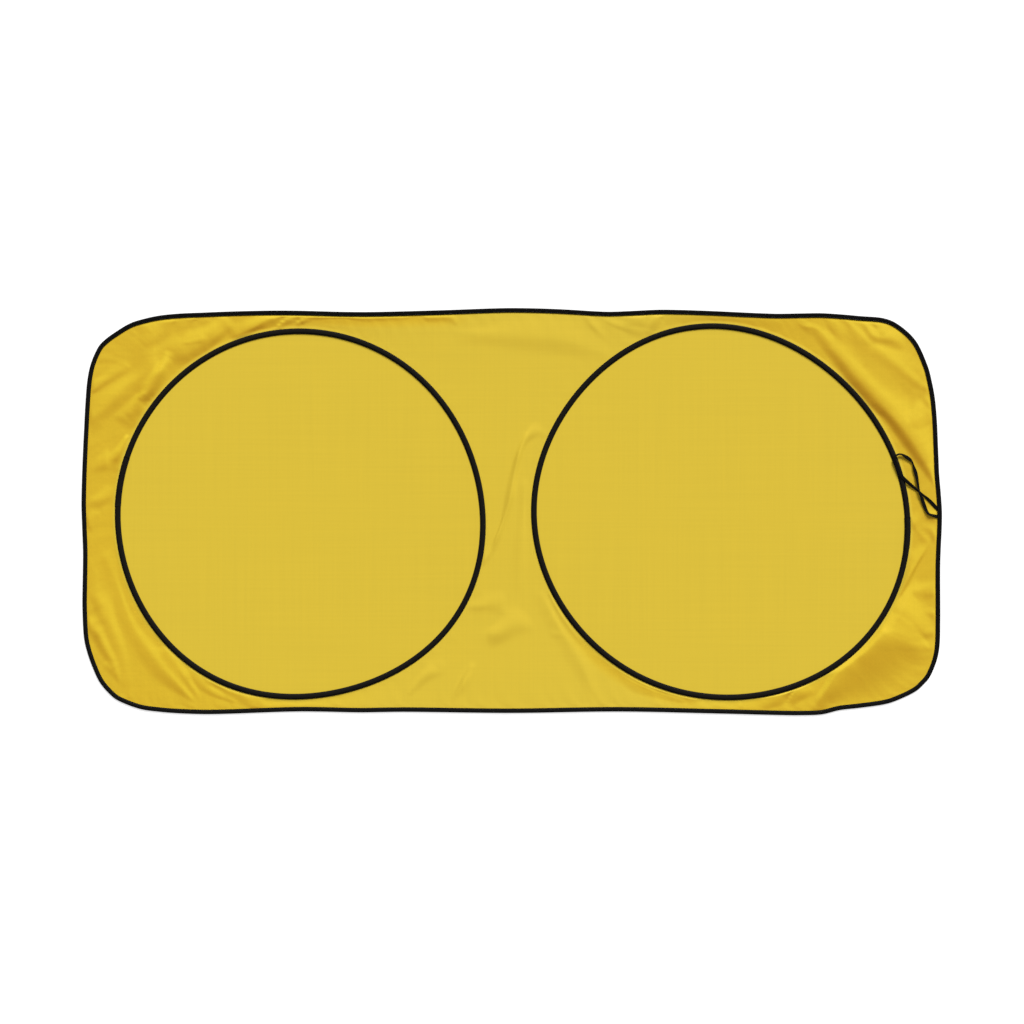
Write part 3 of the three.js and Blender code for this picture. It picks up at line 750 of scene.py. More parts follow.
def pucker_height(points, inset, seam):
    """Each seam's ripple, times its size, times an exponential fade of the distance from the tape,
    where it starts at 0. The edge's puckers slant, by half the distance in."""
    gaps, from_hoops, from_binding = from_tapes(points, inset)
    puckers = edge_pucker * ripple(seam + 0.5 * inset, edge_waves)
    puckers *= np.exp(-from_binding / edge_fade) * smoothstep(from_binding, 0, 6)
    nearer = hoops["left"]["centre"] + np.where(gaps[0] < gaps[1], 0, 1)[:, None] * (
        hoops["right"]["centre"] - hoops["left"]["centre"]
    )
    out = points - nearer
    round_hoop = np.arctan2(out[:, 1], out[:, 0]) * ring_length / 2 / np.pi
    hoop_puckers = hoop_pucker * ripple(round_hoop, ring_waves)
    puckers += hoop_puckers * np.exp(-from_hoops / hoop_fade) * smoothstep(from_hoops, 0, 6)
    return puckers * smoothstep(from_hoops, 0, 8)


print("waves round the edge:", np.round(edge_length * edge_waves[0][:5] / 2 / np.pi).astype(int))

# %% [markdown]
# ## Slack cloth
# Cloth that isn't stretched looks different: it is crinkled, and the material paints more shade
# on it and on its folds. So each point of the sheet is told how slack the cloth is there, as an
# attribute that the material reads later. The cloth counts as slack round the hoops at both ends of
# the sheet, along the top edge left of the middle and just under the right hoop, and in the last
# two places the slack serves chiefly as painted shade.

# %% Slack


def slackness(points, from_hoops, from_binding):
    """How slack the cloth is, from 0 to 1: the greatest of three smooth rises, one for each kind of
    place, with limits in millimetres, and 0 on the hoops' flat discs."""
    x, y = points.T
    at_ends = smoothstep(np.abs(x), 200, 450)
    # the patches along the top edge and under the right hoop carry painted shade in the material's
    # colour
    at_top = (1 - smoothstep(np.abs(x + 250), 110, 190)) * (1 - smoothstep(from_binding, 6, 24))
    below_hoop = (1 - smoothstep(np.abs(x - 230), 70, 170)) * (1 - smoothstep(from_hoops, 8, 30))
    loosest = np.maximum(at_ends, np.maximum(at_top * (y > 0), 0.8 * (below_hoop * (y < 0))))
    return smoothstep(from_hoops, 0, 5) * loosest


def cloth_height(points, inset, seam):
    """Height of the cloth's underside, folds and puckers together, and how slack it is."""
    _, from_hoops, from_binding = from_tapes(points, inset)
    height = folded_height(points, inset) + pucker_height(points, inset, seam)
    return np.maximum(0, height), slackness(points, from_hoops, from_binding)


height_there, slack_there = cloth_height(big_fold, big_fold_inset, np.zeros(1))
print("big fold with puckers, mm:", np.round(height_there, 2), "slack:", np.round(slack_there, 2))

# %% [markdown]
# ## The elastic loop
# A flat elastic, 6 mm wide, is sewn in under the binding at the right edge. It goes out over the
# hoop's tape, turns back there, crosses over itself and goes back in. Where it is twisted it curls
# up narrower and thicker, and leans on one edge, which lifts its middle line. The table gives each
# point's place, what it lies on, how wide it is there and how far it is rolled about its length.

# %% Route of the elastic
elastic_width = 6.0
elastic_thickness = 0.9
elastic_clearance = 0.1
elastic_step = 1.5
half_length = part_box("edge_binding")[1].x / mm
on_cloth = cloth_at_edge + cloth_thickness
on_casing = on_cloth + 1.9
on_elastic = on_cloth + 2.2
elastic_route = [  # in from the right end, y, what lies under it, width, roll in degrees
    (5, 2.2, on_cloth, 6, 0),
    (11.1, 7.6, on_cloth, 6, 4),
    (16.4, 13.6, on_cloth, 6, 6),
    (26, 23, on_cloth, 5, 12),
    (33, 29, on_cloth, 3.2, 16),
    (40, 34.8, on_cloth, 3.4, 12),
    (52, 44.5, on_cloth + 0.6, 5.2, 8),
    (63.3, 54.3, on_casing - 0.3, 6, 4),
    (72.5, 64, on_casing, 6, 4),
    (79.5, 79, on_casing, 6, 10),
    (83.2, 88.5, on_casing, 6, 20),
    (82.2, 96, on_casing, 4, 30),
    (76.2, 99.8, on_casing, 3, 30),
    (70, 99.4, on_casing - 0.6, 3.4, 20),
    (61.7, 94.8, on_cloth + 0.4, 6, 8),
    (54.5, 89.2, on_cloth, 5, 10),
    (50.9, 83.6, on_cloth, 2.6, 30),
    (48.4, 75, on_cloth, 5.4, 18),
    (45.1, 64, on_cloth + 0.3, 6, 10),
    (42.6, 50, on_elastic - 0.8, 4.4, 14),
    (40, 34.8, on_elastic, 3.2, 12),
    (35.7, 24, on_elastic - 1, 5.6, 10),
    (30, 8, on_cloth, 6, 10),
    (25.5, -1.6, on_cloth, 5, 20),
    (20.5, -5.4, on_cloth, 4.2, 24),
    (10.2, -8.2, on_cloth, 6, 6),
    (5, -8.6, on_cloth, 6, 0),
]


def lay_elastic():
    """The elastic's middle line, its roll and how far it is curled: the square root of its full
    width over its width there. What it lies on is as high as the table says or, where folded cloth
    lifts it, as far above that. Its middle is up by half its leaning width and half its
    thickness."""
    inwards, y, under, width, roll = np.array(elastic_route, float).T
    roll = np.radians(roll)
    plan = np.stack([half_length - inwards, y], 1)
    inset = np.linalg.norm(plan[:, None] - edge_loop, axis=2).min(1)
    under = np.maximum(under, folded_height(plan, inset) + cloth_thickness + under - on_cloth)
    curled = np.sqrt(elastic_width / width)
    rise = width / 2 * np.sin(roll) + curled * elastic_thickness / 2 * np.cos(roll)
    knots = np.column_stack([plan, under + (rise + elastic_clearance), roll, curled])
    run = even_run(smooth_run(knots, 12), elastic_step)
    return run[:, :3], run[:, 3:4], run[:, 4:]


elastic_path, elastic_roll, elastic_curl = lay_elastic()

# %% [markdown]
# ## The elastic's surface
# The section is a flat bar with rounded edges. Its direction across lies level and at right angles
# to the route, until the roll turns it about the route. Curling makes it narrower and thicker by
# stretching those two directions, so the same section serves all along.

# %% Elastic loop


def make_elastic():
    """The elastic's section swept along its route. With c for curled, the width is divided by c
    squared and the thickness is multiplied by c."""
    path, roll, curled = elastic_path, elastic_roll, elastic_curl
    forward = np.gradient(path, axis=0)
    forward /= np.linalg.norm(forward, axis=1, keepdims=True)
    flat = np.cross(forward, [0, 0, 1])
    flat /= np.linalg.norm(flat, axis=1, keepdims=True)
    above = np.cross(flat, forward)
    across = (flat * np.cos(roll) + above * np.sin(roll)) / curled**2
    face = (above * np.cos(roll) - flat * np.sin(roll)) * curled
    half, thick = elastic_width / 2, elastic_thickness / 2
    side = [(-half, -0.4 * thick), (0.3 - half, -thick), (-1, -thick), (1, -thick)]
    side += [(half - 0.3, -thick), (half, -0.4 * thick)]
    section = np.array(side + [(x, -z) for x, z in reversed(side)])
    points, faces, uv = sweep(path, across, face, section, closed=False)
    elastic = build_piece("elastic_loop_cloth", points, faces, [elastic_braid], uv)
    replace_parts(elastic, "elastic_loop")


make_elastic()

# %% [markdown]
# ## Laying out the taffeta sheet
# Each half of the sheet is laid out as rays from its hoop's centre to the bound edge, and the two
# halves share the line down the sheet's middle. The rays crowd together where the loose cloth is
# widest, at the corners. A ray has four points on the flat disc, and two of those lie under the
# tape, which hides where the smooth shading of the loose cloth ends. The rest lie on the margin.

# %% Rays of the sheet
cut_inset = 1.0
edge_rays = 460
middle_rays = 110
disc_shares = np.array([[0.3], [0.65], [0.975], [0.992]])
margin_rings = 37
crowding_width = 60  # loose cloth this wide has twice the rays


def walk_edge(first, last, hoop):
    """Places along the edge from one to another, closer together where the loose cloth is wide: the
    steps are even in the sum of 1 plus the loose width over the crowding width."""
    count = len(edge_loop)
    index = np.arange(first, last + (count if last < first else 0) + 1)
    inner = (edge_loop - edge_outward * binding_reach)[index % count]
    out = inner - hoop["centre"]
    width = np.hypot(*out.T) - hoop_radius_at(hoop, np.arctan2(out[:, 1], out[:, 0]))
    crowding = np.concatenate([[0], np.cumsum(1 + width[1:] / crowding_width)])
    wanted = np.interp(np.linspace(0, crowding[-1], edge_rays), crowding, index)
    low = np.floor(wanted).astype(int)
    part = (wanted - low)[:, None]
    here, after = low % count, (low + 1) % count
    place = edge_loop[here] * (1 - part) + edge_loop[after] * part
    outward = edge_outward[here] * (1 - part) + edge_outward[after] * part
    return place, outward / np.linalg.norm(outward, axis=1, keepdims=True), wanted * edge_step


def cross_middle(side):
    """The edge point nearest to the sheet's middle line, on its far side (1) or near side (-1)."""
    return int(np.argmin(np.abs(edge_loop[:, 0]) + 1e4 * (edge_loop[:, 1] * side < 0)))


def lay_half(hoop, first, last):
    """Plan of one half: points (rays, rings, 2), the places of the cut edge, and for each point the
    distance in from the edge and the distance along it. A ray runs straight from the hoop's centre
    to the rim of its tape, and straight on from there to the binding or to the middle line."""
    place, outward, along = walk_edge(first, last, hoop)
    inner = place - outward * binding_reach
    steps = np.linspace(0, 1, middle_rays + 2)[1:-1, None]
    middle = inner[-1] * (1 - steps) + inner[0] * steps
    ends = np.vstack([inner, middle])
    out = ends - hoop["centre"]
    rim = hoop_point(hoop, np.arctan2(out[:, 1], out[:, 0]), hoop_reach)
    margin = np.linspace(0, 1, margin_rings + 1)[:, None]
    flat = hoop["centre"] + (rim - hoop["centre"])[:, None] * disc_shares
    loose = rim[:, None] * (1 - margin) + ends[:, None] * margin
    plan = np.concatenate([flat, loose], 1)
    near = np.where(steps < 0.5, 1.0, 0.0)
    foot = np.vstack([place, near * place[-1] + (1 - near) * place[0]])
    foot_out = np.vstack([outward, near * outward[-1] + (1 - near) * outward[0]])
    foot_along = np.concatenate([along, np.where(near[:, 0] > 0, along[-1], along[0])])
    to = plan - foot[:, None]
    tangent = np.stack([-foot_out[:, 1], foot_out[:, 0]], 1)
    inset = -(to * foot_out[:, None]).sum(-1)
    seam = foot_along[:, None] + (to * tangent[:, None]).sum(-1)
    return plan, place - outward * cut_inset, inset, seam


near_middle, far_middle = cross_middle(-1), cross_middle(1)
print("edge points on the middle line:", near_middle, far_middle, "of", len(edge_loop))

# %% [markdown]
# ## Closing the sheet
# The same grid is made twice, for the front and 0.4 mm lower for the back. A collar goes from the
# last ring to the cut edge inside the binding, and a wall joins front and back there, so that the
# sheet is a closed skin. The two halves meet in equal points, which are joined at the end.

# %% Faces of the sheet


def grid_faces(rays, rings):
    """Triangles between the rays and rings of a half, whose rays close up, and the fan round the
    hub. Points are numbered ray by ray, and the hub comes last."""
    i, k = np.meshgrid(np.arange(rays), np.arange(rings - 1), indexing="ij")
    i, k = i.ravel(), k.ravel()
    after = (i + 1) % rays
    a, b, c, d = i * rings + k, i * rings + k + 1, after * rings + k + 1, after * rings + k
    start = np.arange(rays)
    fan = np.stack([np.full(rays, rays * rings), start * rings, (start + 1) % rays * rings], 1)
    return np.vstack([np.stack([a, b, c], 1), np.stack([a, c, d], 1), fan])


def strip_faces(a, b, c, d):
    """Two triangles for each quad of a strip, from its corners a, b, c and d."""
    return np.vstack([np.stack([a, b, c], 1), np.stack([a, c, d], 1)])


def make_half(hoop, first, last):
    """Points of one half, front then back, its triangles, which of them are the back's, and the
    slack of the points."""
    plan, cut, inset, seam = lay_half(hoop, first, last)
    rays, rings = plan.shape[:2]
    height, slack = cloth_height(plan.reshape(-1, 2), inset.ravel(), seam.ravel())
    grid = np.column_stack([plan.reshape(-1, 2), height])
    hub = np.array([[*hoop["centre"], 0.0]])
    rim = np.column_stack([cut, np.full(len(cut), cloth_at_edge)])
    under = np.vstack([grid, hub, rim])
    over = under + [0, 0, cloth_thickness]
    count = len(under)
    strip = np.arange(edge_rays - 1)
    ends = strip * rings + rings - 1
    cuts = rays * rings + 1 + strip
    collar = strip_faces(ends, cuts, cuts + 1, ends + rings)
    wall = strip_faces(cuts, cuts + count, cuts + count + 1, cuts + 1)
    top = np.vstack([grid_faces(rays, rings), collar])
    faces = np.vstack([top, top[:, ::-1] + count, wall[:, ::-1]])
    on_back = np.concatenate([np.zeros(len(top)), np.ones(len(top)), np.zeros(len(wall))])
    slacks = np.tile(np.concatenate([slack, [0], np.ones(len(cut))]), 2)
    return np.vstack([over, under]), faces, on_back, slacks


def make_cloth(materials):
    """The whole sheet as one closed mesh, with equal points joined."""
    left = make_half(hoops["left"], far_middle, near_middle)
    right = make_half(hoops["right"], near_middle, far_middle)
    points = np.vstack([left[0], right[0]])
    faces = np.vstack([left[1], right[1] + len(left[0])])
    on_back = np.concatenate([left[2], right[2]])
    slacks = np.concatenate([left[3], right[3]])
    rounded = np.round(points, 3)
    _, first, joined = np.unique(rounded, axis=0, return_index=True, return_inverse=True)
    points, faces = points[first], joined.ravel()[faces]
    uv = points[faces][:, :, :2]
    sheet = build_piece(
        "taffeta_sheet", points, faces, materials, uv, on_back, slacks[first]
    )
    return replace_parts(sheet, "fabric_panel")


print("triangles of a small grid:", len(grid_faces(6, 3)))

# %% [markdown]
# ## Threads of the weave
# Polyester taffeta is a tight plain weave. Its threads vary in thickness, so the stretched discs
# show faint streaks along both directions of the weave. A streak is noise that is stretched far
# more one way than the other. The streaks are drawn 4 mm wide, many threads together, since one
# thread of a tenth of a millimetre is too fine to show.

# %% Pattern of the weave
slub_width = 0.004
slub_length = 0.25


def stretched_noise(tree, vector, per_metre_x, per_metre_y, detail=2.0):
    """Noise of the UV in metres, scaled by its own amount each way."""
    mapping = add_node(
        tree,
        "ShaderNodeMapping",
        {"Scale": (per_metre_x, per_metre_y, 1)},
        {"Vector": vector},
        vector_type="POINT",
    )
    return add_node(
        tree,
        "ShaderNodeTexNoise",
        {"Scale": 1.0, "Detail": detail, "Roughness": 0.55},
        {"Vector": mapping.outputs["Vector"]},
    ).outputs[0]


print("slubs in a metre, across and along:", round(1 / slub_width), round(1 / slub_length))

# %% [markdown]
# ## Yellow taffeta
# Dyed taffeta has a soft satin shine. Shade is painted into its colour: cloth that leans down
# the sheet, away from the key light, is painted a deeper amber, and cloth that faces the light
# stays pale. Slack cloth gets the most painted shade, and a little painted shade whichever way it
# faces. Slack cloth is also crinkled, too finely for the mesh, so the crinkles are a bump.

# %% Front of the cloth
# painted shade: cloth that faces this way, away from the key light, is painted amber
painted_shade_lean = (-0.342, -0.94, 0)  # the way that cloth faces where it turns amber
broad_crinkles = (22, 34)  # crinkles in a metre, along the sheet and across it
fine_crinkles = (70, 55)
crinkle_depth = 0.0003


def painted_shade_share(tree, slack):
    """How far painted shade turns the yellow to amber: the surface's direction dotted with the way
    away from the key light, times 1 to 2.4 by slack, plus 0 to 0.2 of painted shade by slack."""
    geometry = add_node(tree, "ShaderNodeNewGeometry")
    lean = add_node(
        tree,
        "ShaderNodeVectorMath",
        {1: painted_shade_lean},
        {0: geometry.outputs["Normal"]},
        operation="DOT_PRODUCT",
    )
    depth = add_node(tree, "ShaderNodeMapRange", {"To Min": 1.0, "To Max": 2.4}, {"Value": slack})
    # painted shade on slack cloth, the same whichever way it faces
    slack_shade = add_node(tree, "ShaderNodeMapRange", {"To Max": 0.2}, {"Value": slack})
    terms = {0: lean.outputs["Value"], 1: depth.outputs[0], 2: slack_shade.outputs[0]}
    return add_node(tree, "ShaderNodeMath", links=terms, operation="MULTIPLY_ADD").outputs[0]


def make_taffeta():
    """Yellow front with painted shade. Its colour goes from yellow to amber by its lean away from
    the key light and by slack, and varies by 2 percent in streaks. Its bump is two sizes of noise,
    times slack."""
    material, tree = new_material("yellow_taffeta")
    uv = add_node(tree, "ShaderNodeUVMap", uv_map="weave").outputs["UV"]
    slack = add_node(tree, "ShaderNodeAttribute", attribute_name="slack").outputs["Fac"]
    # slack cloth starts from a slightly deeper yellow
    loose = add_node(
        tree,
        "ShaderNodeMix",
        {6: linear("d3b631"), 7: linear("d4b423")},
        {0: slack},
        data_type="RGBA",
    )
    # painted shade: this mix turns the yellow towards amber on slopes away from the key light and on
    # slack cloth
    yellow = add_node(
        tree,
        "ShaderNodeMix",
        {7: linear("c0840a")},
        {0: painted_shade_share(tree, slack), 6: loose.outputs[2]},
        data_type="RGBA",
    )
    warp = stretched_noise(tree, uv, 1 / slub_width, 1 / slub_length)
    weft = stretched_noise(tree, uv, 1 / slub_length, 1 / slub_width)
    streaks = add_node(tree, "ShaderNodeMath", links={0: warp, 1: weft}, operation="ADD")
    shade = add_node(
        tree,
        "ShaderNodeMapRange",
        {"From Min": 0.7, "From Max": 1.3, "To Min": 0.98, "To Max": 1.02},
        {"Value": streaks.outputs[0]},
    )
    colour = add_node(
        tree,
        "ShaderNodeVectorMath",
        links={0: yellow.outputs[2], 1: shade.outputs[0]},
        operation="MULTIPLY",
    )
    broad = stretched_noise(tree, uv, *broad_crinkles, 3.0)
    fine = stretched_noise(tree, uv, *fine_crinkles, 2.0)
    crinkles = add_node(tree, "ShaderNodeMath", links={0: broad, 1: fine}, operation="ADD")
    height = add_node(
        tree, "ShaderNodeMath", links={0: crinkles.outputs[0], 1: slack}, operation="MULTIPLY"
    )
    bump = add_node(
        tree,
        "ShaderNodeBump",
        {"Strength": 1.0, "Distance": crinkle_depth},
        {"Height": height.outputs[0]},
    )
    cloth = add_node(
        tree,
        "ShaderNodeBsdfPrincipled",
        {"Roughness": 0.7, "IOR": polyester_ior, "Specular IOR Level": 0.2},
        {"Base Color": colour.outputs[0], "Normal": bump.outputs["Normal"]},
    )
    finish_material(tree, cloth)
    return material


yellow_taffeta = make_taffeta()
print("nodes of the yellow taffeta:", len(yellow_taffeta.node_tree.nodes))

# %% [markdown]
# ## Silver back
# The back is coated against the sun with aluminium pigment in a thin film of resin. It is satin, so
# it glints softly where the cloth curves, and the weave shows through as streaks in its roughness.
# The sheet is made here, with the yellow on its front and cut edge and the silver on its back.

# %% Back of the cloth


def make_silver_back():
    """Grey aluminium film: nearly a metal, with roughness from 0.38 to 0.52 by the streaks."""
    material, tree = new_material("silver_coating")
    uv = add_node(tree, "ShaderNodeUVMap", uv_map="weave").outputs["UV"]
    grain = stretched_noise(tree, uv, 1 / slub_width, 1 / slub_length)
    rough = add_node(
        tree, "ShaderNodeMapRange", {"To Min": 0.38, "To Max": 0.52}, {"Value": grain}
    )
    film = add_node(
        tree,
        "ShaderNodeBsdfPrincipled",
        {"Base Color": linear("b9bbbd"), "Metallic": 0.85},
        {"Roughness": rough.outputs[0]},
    )
    finish_material(tree, film)
    return material


taffeta = make_cloth([yellow_taffeta, make_silver_back()])

# %% [markdown]
# ## The edge binding
# One tape is folded over the cut edge, so that a leaf lies on the front and one on the back. Its
# fold is a soft roll. Where the two ends of the elastic go in, the front leaf rides up over them.

# %% Edge binding
binding_step = 3.5
elastic_ends = [3.7, -8.3]  # the y at which the two ends of the elastic go in
bell_top, bell_foot = 3.2, 9  # mm from an end's middle: just over half its width, and flat again
right_part = 700  # only the edge beyond this x is lifted


def lift_over_elastic(loop):
    """How far the front leaf is lifted at each point of a loop along the edge: the elastic's
    thickness and its clearance, times a bell of the distance from the nearer of its two ends."""
    away = np.min([np.abs(loop[:, 1] - y) for y in elastic_ends], axis=0)
    bell = 1 - smoothstep(away, bell_top, bell_foot)
    return (elastic_thickness + elastic_clearance) * bell * (loop[:, 0] > right_part)


def make_binding():
    """The folded tape's section swept round the edge. The lift of its front leaf over the elastic
    grows from nothing at the fold to its full height 2 mm farther in."""
    loop = even_run(edge_curve, binding_step, closed=True)
    out = np.column_stack([outward_of(loop), np.zeros(len(loop))])
    up = np.tile([0.0, 0.0, 1.0], (len(loop), 1))
    path = np.column_stack([loop, np.zeros(len(loop))])
    height, slot, nose = binding_height, tape_thickness + 0.2, 0.35
    outside = [(-binding_width, 0.0), (-2.4, 0.0), (-1.0, 0.08), (-nose, 0.36), (0.0, 0.8)]
    outside += [(x, height - z) for x, z in reversed(outside)]
    inside = [(-binding_width, tape_thickness), (-2.4, tape_thickness), (-1.3, tape_thickness)]
    inside += [(-0.9, 0.62), (-slot, 0.85)]
    inside += [(x, height - z) for x, z in reversed(inside)]
    section = np.tile(np.array(outside + inside[::-1]), (len(loop), 1, 1))
    front = section[..., 1] > height / 2
    inwards = np.clip((-section[..., 0] - nose) / 2, 0, 1)
    section[..., 1] += front * inwards * lift_over_elastic(loop)[:, None]
    points, faces, uv = sweep(path, out, up, section, closed=True)
    binding = build_piece("edge_binding_tape", points, faces, [binding_tape], uv)
    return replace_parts(binding, "edge_binding")


binding = make_binding()

# %% [markdown]
# ## The hoop casings
# A tape is laid over each wire and sewn down along both its edges, so that it stands up over the
# wire as a low arch between two flat seams. At one place the tape's ends overlap, and there the
# wire's own ends are joined in a steel ferrule, which makes the arch a little higher.

# %% Section of a casing
join_hold = 22.0  # mm each way from the join in which the arch keeps its full height
join_fall = 20.0  # mm beyond them in which it comes down to the plain arch
seam_allowance = 1.8
seam_corner = 0.3


def join_rise(hoop, angle):
    """1 at the wire's join, falling to 0 past the ferrule."""
    turn = (angle - hoop["join"] + np.pi) % (2 * np.pi) - np.pi
    return 1 - smoothstep(np.abs(turn) * hoop["radius"], join_hold, join_hold + join_fall)


def casing_section(rise):
    """Tape over the wire: flat seam, rounded arch, flat seam, at its underside and back at its top.
    Each corner has its share of the arch's height. The tape's thickness is measured square to its
    surface, so where the arch is steep the top is farther up and farther out."""
    foot = cloth_thickness + layer_gap
    half, shoulder = casing_width / 2, casing_width / 2 - seam_allowance
    radius = wire_radius + (ferrule_radius - wire_radius) * rise
    crown = foot + 2 * radius + layer_gap
    right = [1.2, 2.0, shoulder, shoulder + seam_corner, half]
    x = np.array([*(-place for place in reversed(right)), 0, *right])
    share = np.array([0, 0, 0.12, 0.86, 0.98, 1, 0.98, 0.86, 0.12, 0, 0])
    under = foot + (crown[:, None] - foot) * share
    slope = 1.0 + 0.5 * np.array([0, 0.4, 0.9, 0.7, 0.2, 0, 0.2, 0.7, 0.9, 0.4, 0])
    outer = np.array([0, 0.1, 0.25, 0.3, 0.15, 0, 0.15, 0.3, 0.25, 0.1, 0])
    over = under + tape_thickness * slope
    bottom = np.stack([np.broadcast_to(x, under.shape), under], -1)
    upper = np.stack([np.broadcast_to(x + np.sign(x) * outer, over.shape), over], -1)
    return np.concatenate([bottom, upper[:, ::-1]], 1)


print("height of a casing, mm:", np.round(casing_section(np.array([0.0, 1.0]))[..., 1].max(1), 2))

# %% [markdown]
# ## Casings round the hoops
# The section goes round each hoop once, as a closed ring. The end of the tape that lies over its
# own beginning is a second, short sweep of the same section, one tape higher and a little wider.

# %% Hoop casings
ring_stations = 560
overlap_stations = 36
overlaps = {"left": (161.5, 177), "right": (-10.5, -1.0)}  # degrees round the hoop
overlap_width = 1.06  # times the tape's own width
overlap_step = 0.95  # of the tape's thickness, since the two tapes press together


def ring_frames(hoop, angle):
    """Path on the hoop at height 0, with its directions out and up."""
    place = hoop_point(hoop, angle)
    along = hoop_point(hoop, angle + 1e-3) - hoop_point(hoop, angle - 1e-3)
    along /= np.linalg.norm(along, axis=1, keepdims=True)
    level = np.zeros(len(place))
    out = np.stack([along[:, 1], -along[:, 0], level], 1)
    return np.column_stack([place, level]), out, np.tile([0.0, 0.0, 1.0], (len(place), 1))


def make_casing(side):
    """The closed casing of one hoop."""
    hoop = hoops[side]
    angle = np.linspace(0, 2 * np.pi, ring_stations, endpoint=False)
    section = casing_section(join_rise(hoop, angle))
    points, faces, uv = sweep(*ring_frames(hoop, angle), section, closed=True)
    casing = build_piece(f"{side}_casing_tape", points, faces, [casing_tape], uv)
    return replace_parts(casing, f"{side}_hoop_casing")


def make_overlap(side):
    """The end of the tape, lying over its beginning: the same section, one tape higher."""
    hoop = hoops[side]
    angle = np.linspace(*np.radians(overlaps[side]), overlap_stations)
    section = casing_section(join_rise(hoop, angle))
    section[..., 0] *= overlap_width
    section[..., 1] += tape_thickness * overlap_step
    points, faces, uv = sweep(*ring_frames(hoop, angle), section, closed=False)
    return build_piece(f"{side}_casing_overlap", points, faces, [casing_tape], uv)


casings = [make_casing(side) for side in hoops]
tape_ends = [make_overlap(side) for side in hoops]

# %% [markdown]
# ## One stitch
# Every tape is sewn through with black thread. A stitch is a small spindle of thread whose ends
# sink into the tape. It is repeated thousands of times, so it has only eighteen faces. Polyester
# thread is smoother than the tape, so each stitch catches a little light.

# %% Stitches
stitch_pitch = 3.4
stitch_length = 2.6
thread_radius = 0.17


def make_thread():
    """Black polyester sewing thread, with a soft sheen."""
    material, tree = new_material("sewing_thread")
    finish = {"Base Color": linear("191714"), "Roughness": 0.5, "IOR": polyester_ior}
    finish_material(tree, add_node(tree, "ShaderNodeBsdfPrincipled", finish))
    return material


def stitch_row(places, along, height, lift):
    """A spindle at each place: rings of four corners, thin at both ends. Its middle line rises by
    the lift times the thread's radius, times 1 minus the squared share of the way to an end."""
    share = np.array([-1, -0.6, 0, 0.6, 1]) / 2
    thick = np.array([0.35, 1, 1, 1, 0.35]) * thread_radius
    turn = np.radians([45, 135, 225, 315])
    side = np.stack([-along[:, 1], along[:, 0]], 1)
    x = share[:, None] * stitch_length + 0 * turn
    y = thick[:, None] * np.cos(turn)
    z = thick[:, None] * np.sin(turn) + lift * (1 - (2 * share[:, None]) ** 2) * thread_radius
    plan = places[:, None, None] + x[..., None] * along[:, None, None]
    plan = plan + y[..., None] * side[:, None, None]
    points = np.concatenate([plan, (height[:, None, None] + z)[..., None]], -1).reshape(-1, 3)
    i, j = (a.ravel() for a in np.meshgrid(np.arange(4), np.arange(4), indexing="ij"))
    j_next = (j + 1) % 4
    tube = np.stack([i * 4 + j, (i + 1) * 4 + j, (i + 1) * 4 + j_next, i * 4 + j_next], 1)
    one = np.vstack([tube, [[3, 2, 1, 0]], [[16, 17, 18, 19]]])
    faces = (one[None] + 20 * np.arange(len(places))[:, None, None]).reshape(-1, 4)
    return points, faces


sewing_thread = make_thread()
print("stitches in a metre:", round(1000 / stitch_pitch))

# %% [markdown]
# ## Rows of stitches
# The binding has one row on the front and one on the back. Each casing has a row along both its
# edges, on the front and on the back, and where the tape overlaps, the stitches lie on two layers.
# All rows of a kind of tape become one piece.

# %% Rows of stitches
front_lift, back_lift = 0.6, -0.6  # how far a stitch stands out of its seam, in thread radii
binding_seam = 1.6  # from the binding's inner edge
casing_seam = 0.85  # from the casing's edge


def sew_loop(loop, heights, lift):
    """A row of stitches along a closed loop, with the height of the seam at each place."""
    places = even_run(np.column_stack([loop, heights]), stitch_pitch, closed=True)
    along = np.roll(places, -1, axis=0)[:, :2] - np.roll(places, 1, axis=0)[:, :2]
    along /= np.linalg.norm(along, axis=1, keepdims=True)
    return stitch_row(places[:, :2], along, places[:, 2], lift)


def sew_both_sides(loop, front_height):
    """The row that shows on the front, and the one that shows on the back."""
    back_height = np.zeros(len(loop))
    return [sew_loop(loop, front_height, front_lift), sew_loop(loop, back_height, back_lift)]


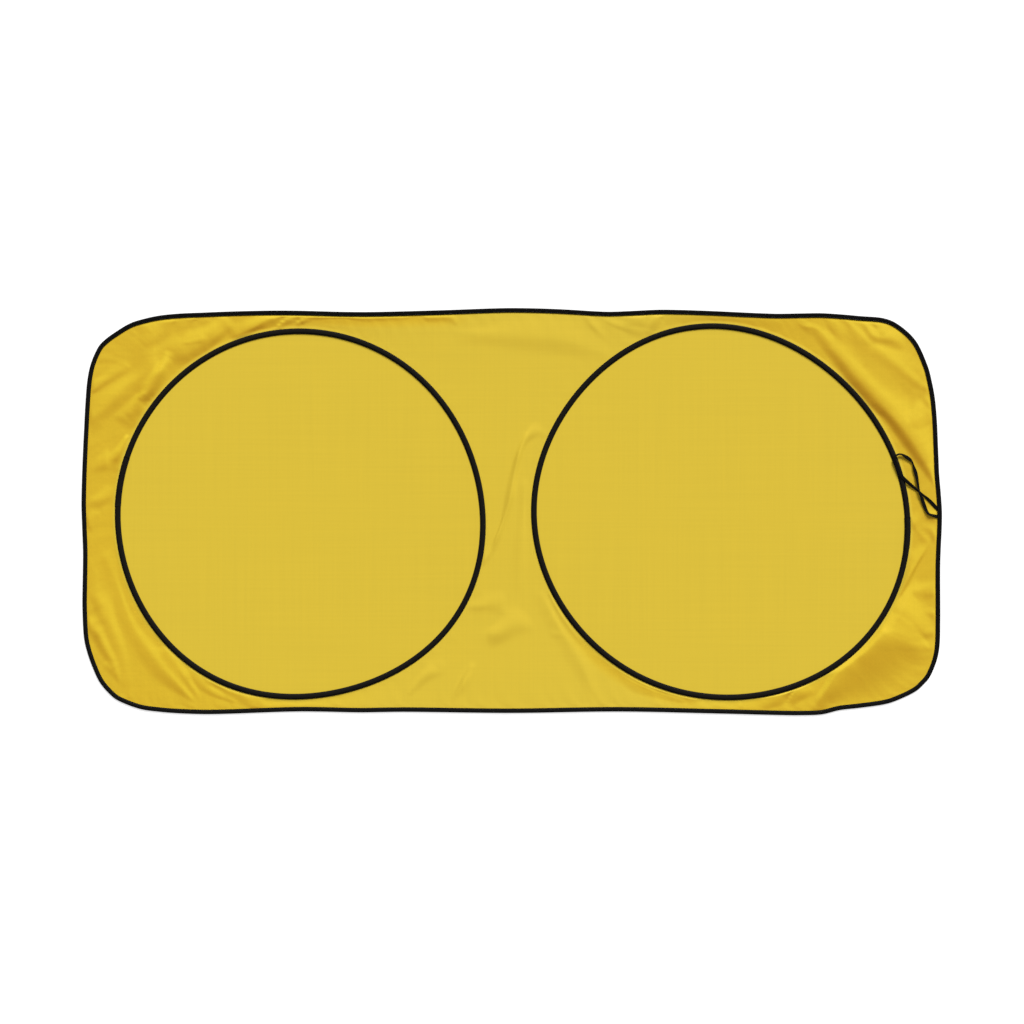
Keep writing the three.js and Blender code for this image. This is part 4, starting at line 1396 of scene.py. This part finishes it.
def sew_casings():
    """The rows of both casings, at the height of one tape, or of two where it overlaps."""
    angle = np.linspace(0, 2 * np.pi, 1200, endpoint=False)
    top = cloth_thickness + layer_gap + tape_thickness
    rows = []
    for side, hoop in hoops.items():
        first, last = np.radians(overlaps[side])
        turn = (angle - first) % (2 * np.pi)
        doubled = tape_thickness * (turn < (last - first) % (2 * np.pi))
        for offset in (-1, 1):
            ring = hoop_point(hoop, angle, offset * (casing_width / 2 - casing_seam))
            rows += sew_both_sides(ring, top + doubled)
    return rows


def join_rows(name, rows):
    """Several rows of stitches as one piece."""
    starts = np.cumsum([0] + [len(points) for points, _ in rows[:-1]])
    faces = np.vstack([faces + start for (_, faces), start in zip(rows, starts)])
    points = np.vstack([points for points, _ in rows])
    return build_piece(name, points, faces, [sewing_thread])


seam_loop = edge_loop - edge_outward * (binding_width - binding_seam)
binding_rows = sew_both_sides(seam_loop, binding_height + lift_over_elastic(edge_loop))
binding_stitches = join_rows("binding_stitches", binding_rows)
casing_stitches = join_rows("casing_stitches", sew_casings())

# %% [markdown]
# ## Steel inside the casings
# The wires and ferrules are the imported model's own pieces. They are hidden in the tape, and take a
# drawn-steel finish: metal with a fine grain in its roughness, which gives it a soft grey shine.

# %% Steel of the wires and ferrules
grains_per_metre = 400.0


def make_steel(name, colour, roughest):
    """Bare steel: metallic, with noise in the roughness, down to 0.12 below the roughest."""
    material, tree = new_material(name)
    place = add_node(tree, "ShaderNodeTexCoord").outputs["Object"]
    grain = add_node(
        tree, "ShaderNodeTexNoise", {"Scale": grains_per_metre, "Detail": 2.0}, {"Vector": place}
    )
    rough = add_node(
        tree,
        "ShaderNodeMapRange",
        {"To Min": roughest - 0.12, "To Max": roughest},
        {"Value": grain.outputs[0]},
    )
    steel = add_node(
        tree,
        "ShaderNodeBsdfPrincipled",
        {"Base Color": linear(colour), "Metallic": 1.0},
        {"Roughness": rough.outputs[0]},
    )
    finish_material(tree, steel)
    return material


steels = {"hoop_wire": make_steel("drawn_spring_steel", "8d9092", 0.42)}
steels["wire_ferrule"] = make_steel("crimped_steel_tube", "a7a9aa", 0.5)
for side in hoops:
    for kind, steel in steels.items():
        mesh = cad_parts[f"{side}_{kind}"].data
        mesh.materials.clear()
        mesh.materials.append(steel)
print("steel nodes:", [f"{side}_{kind}" for side in hoops for kind in steels])
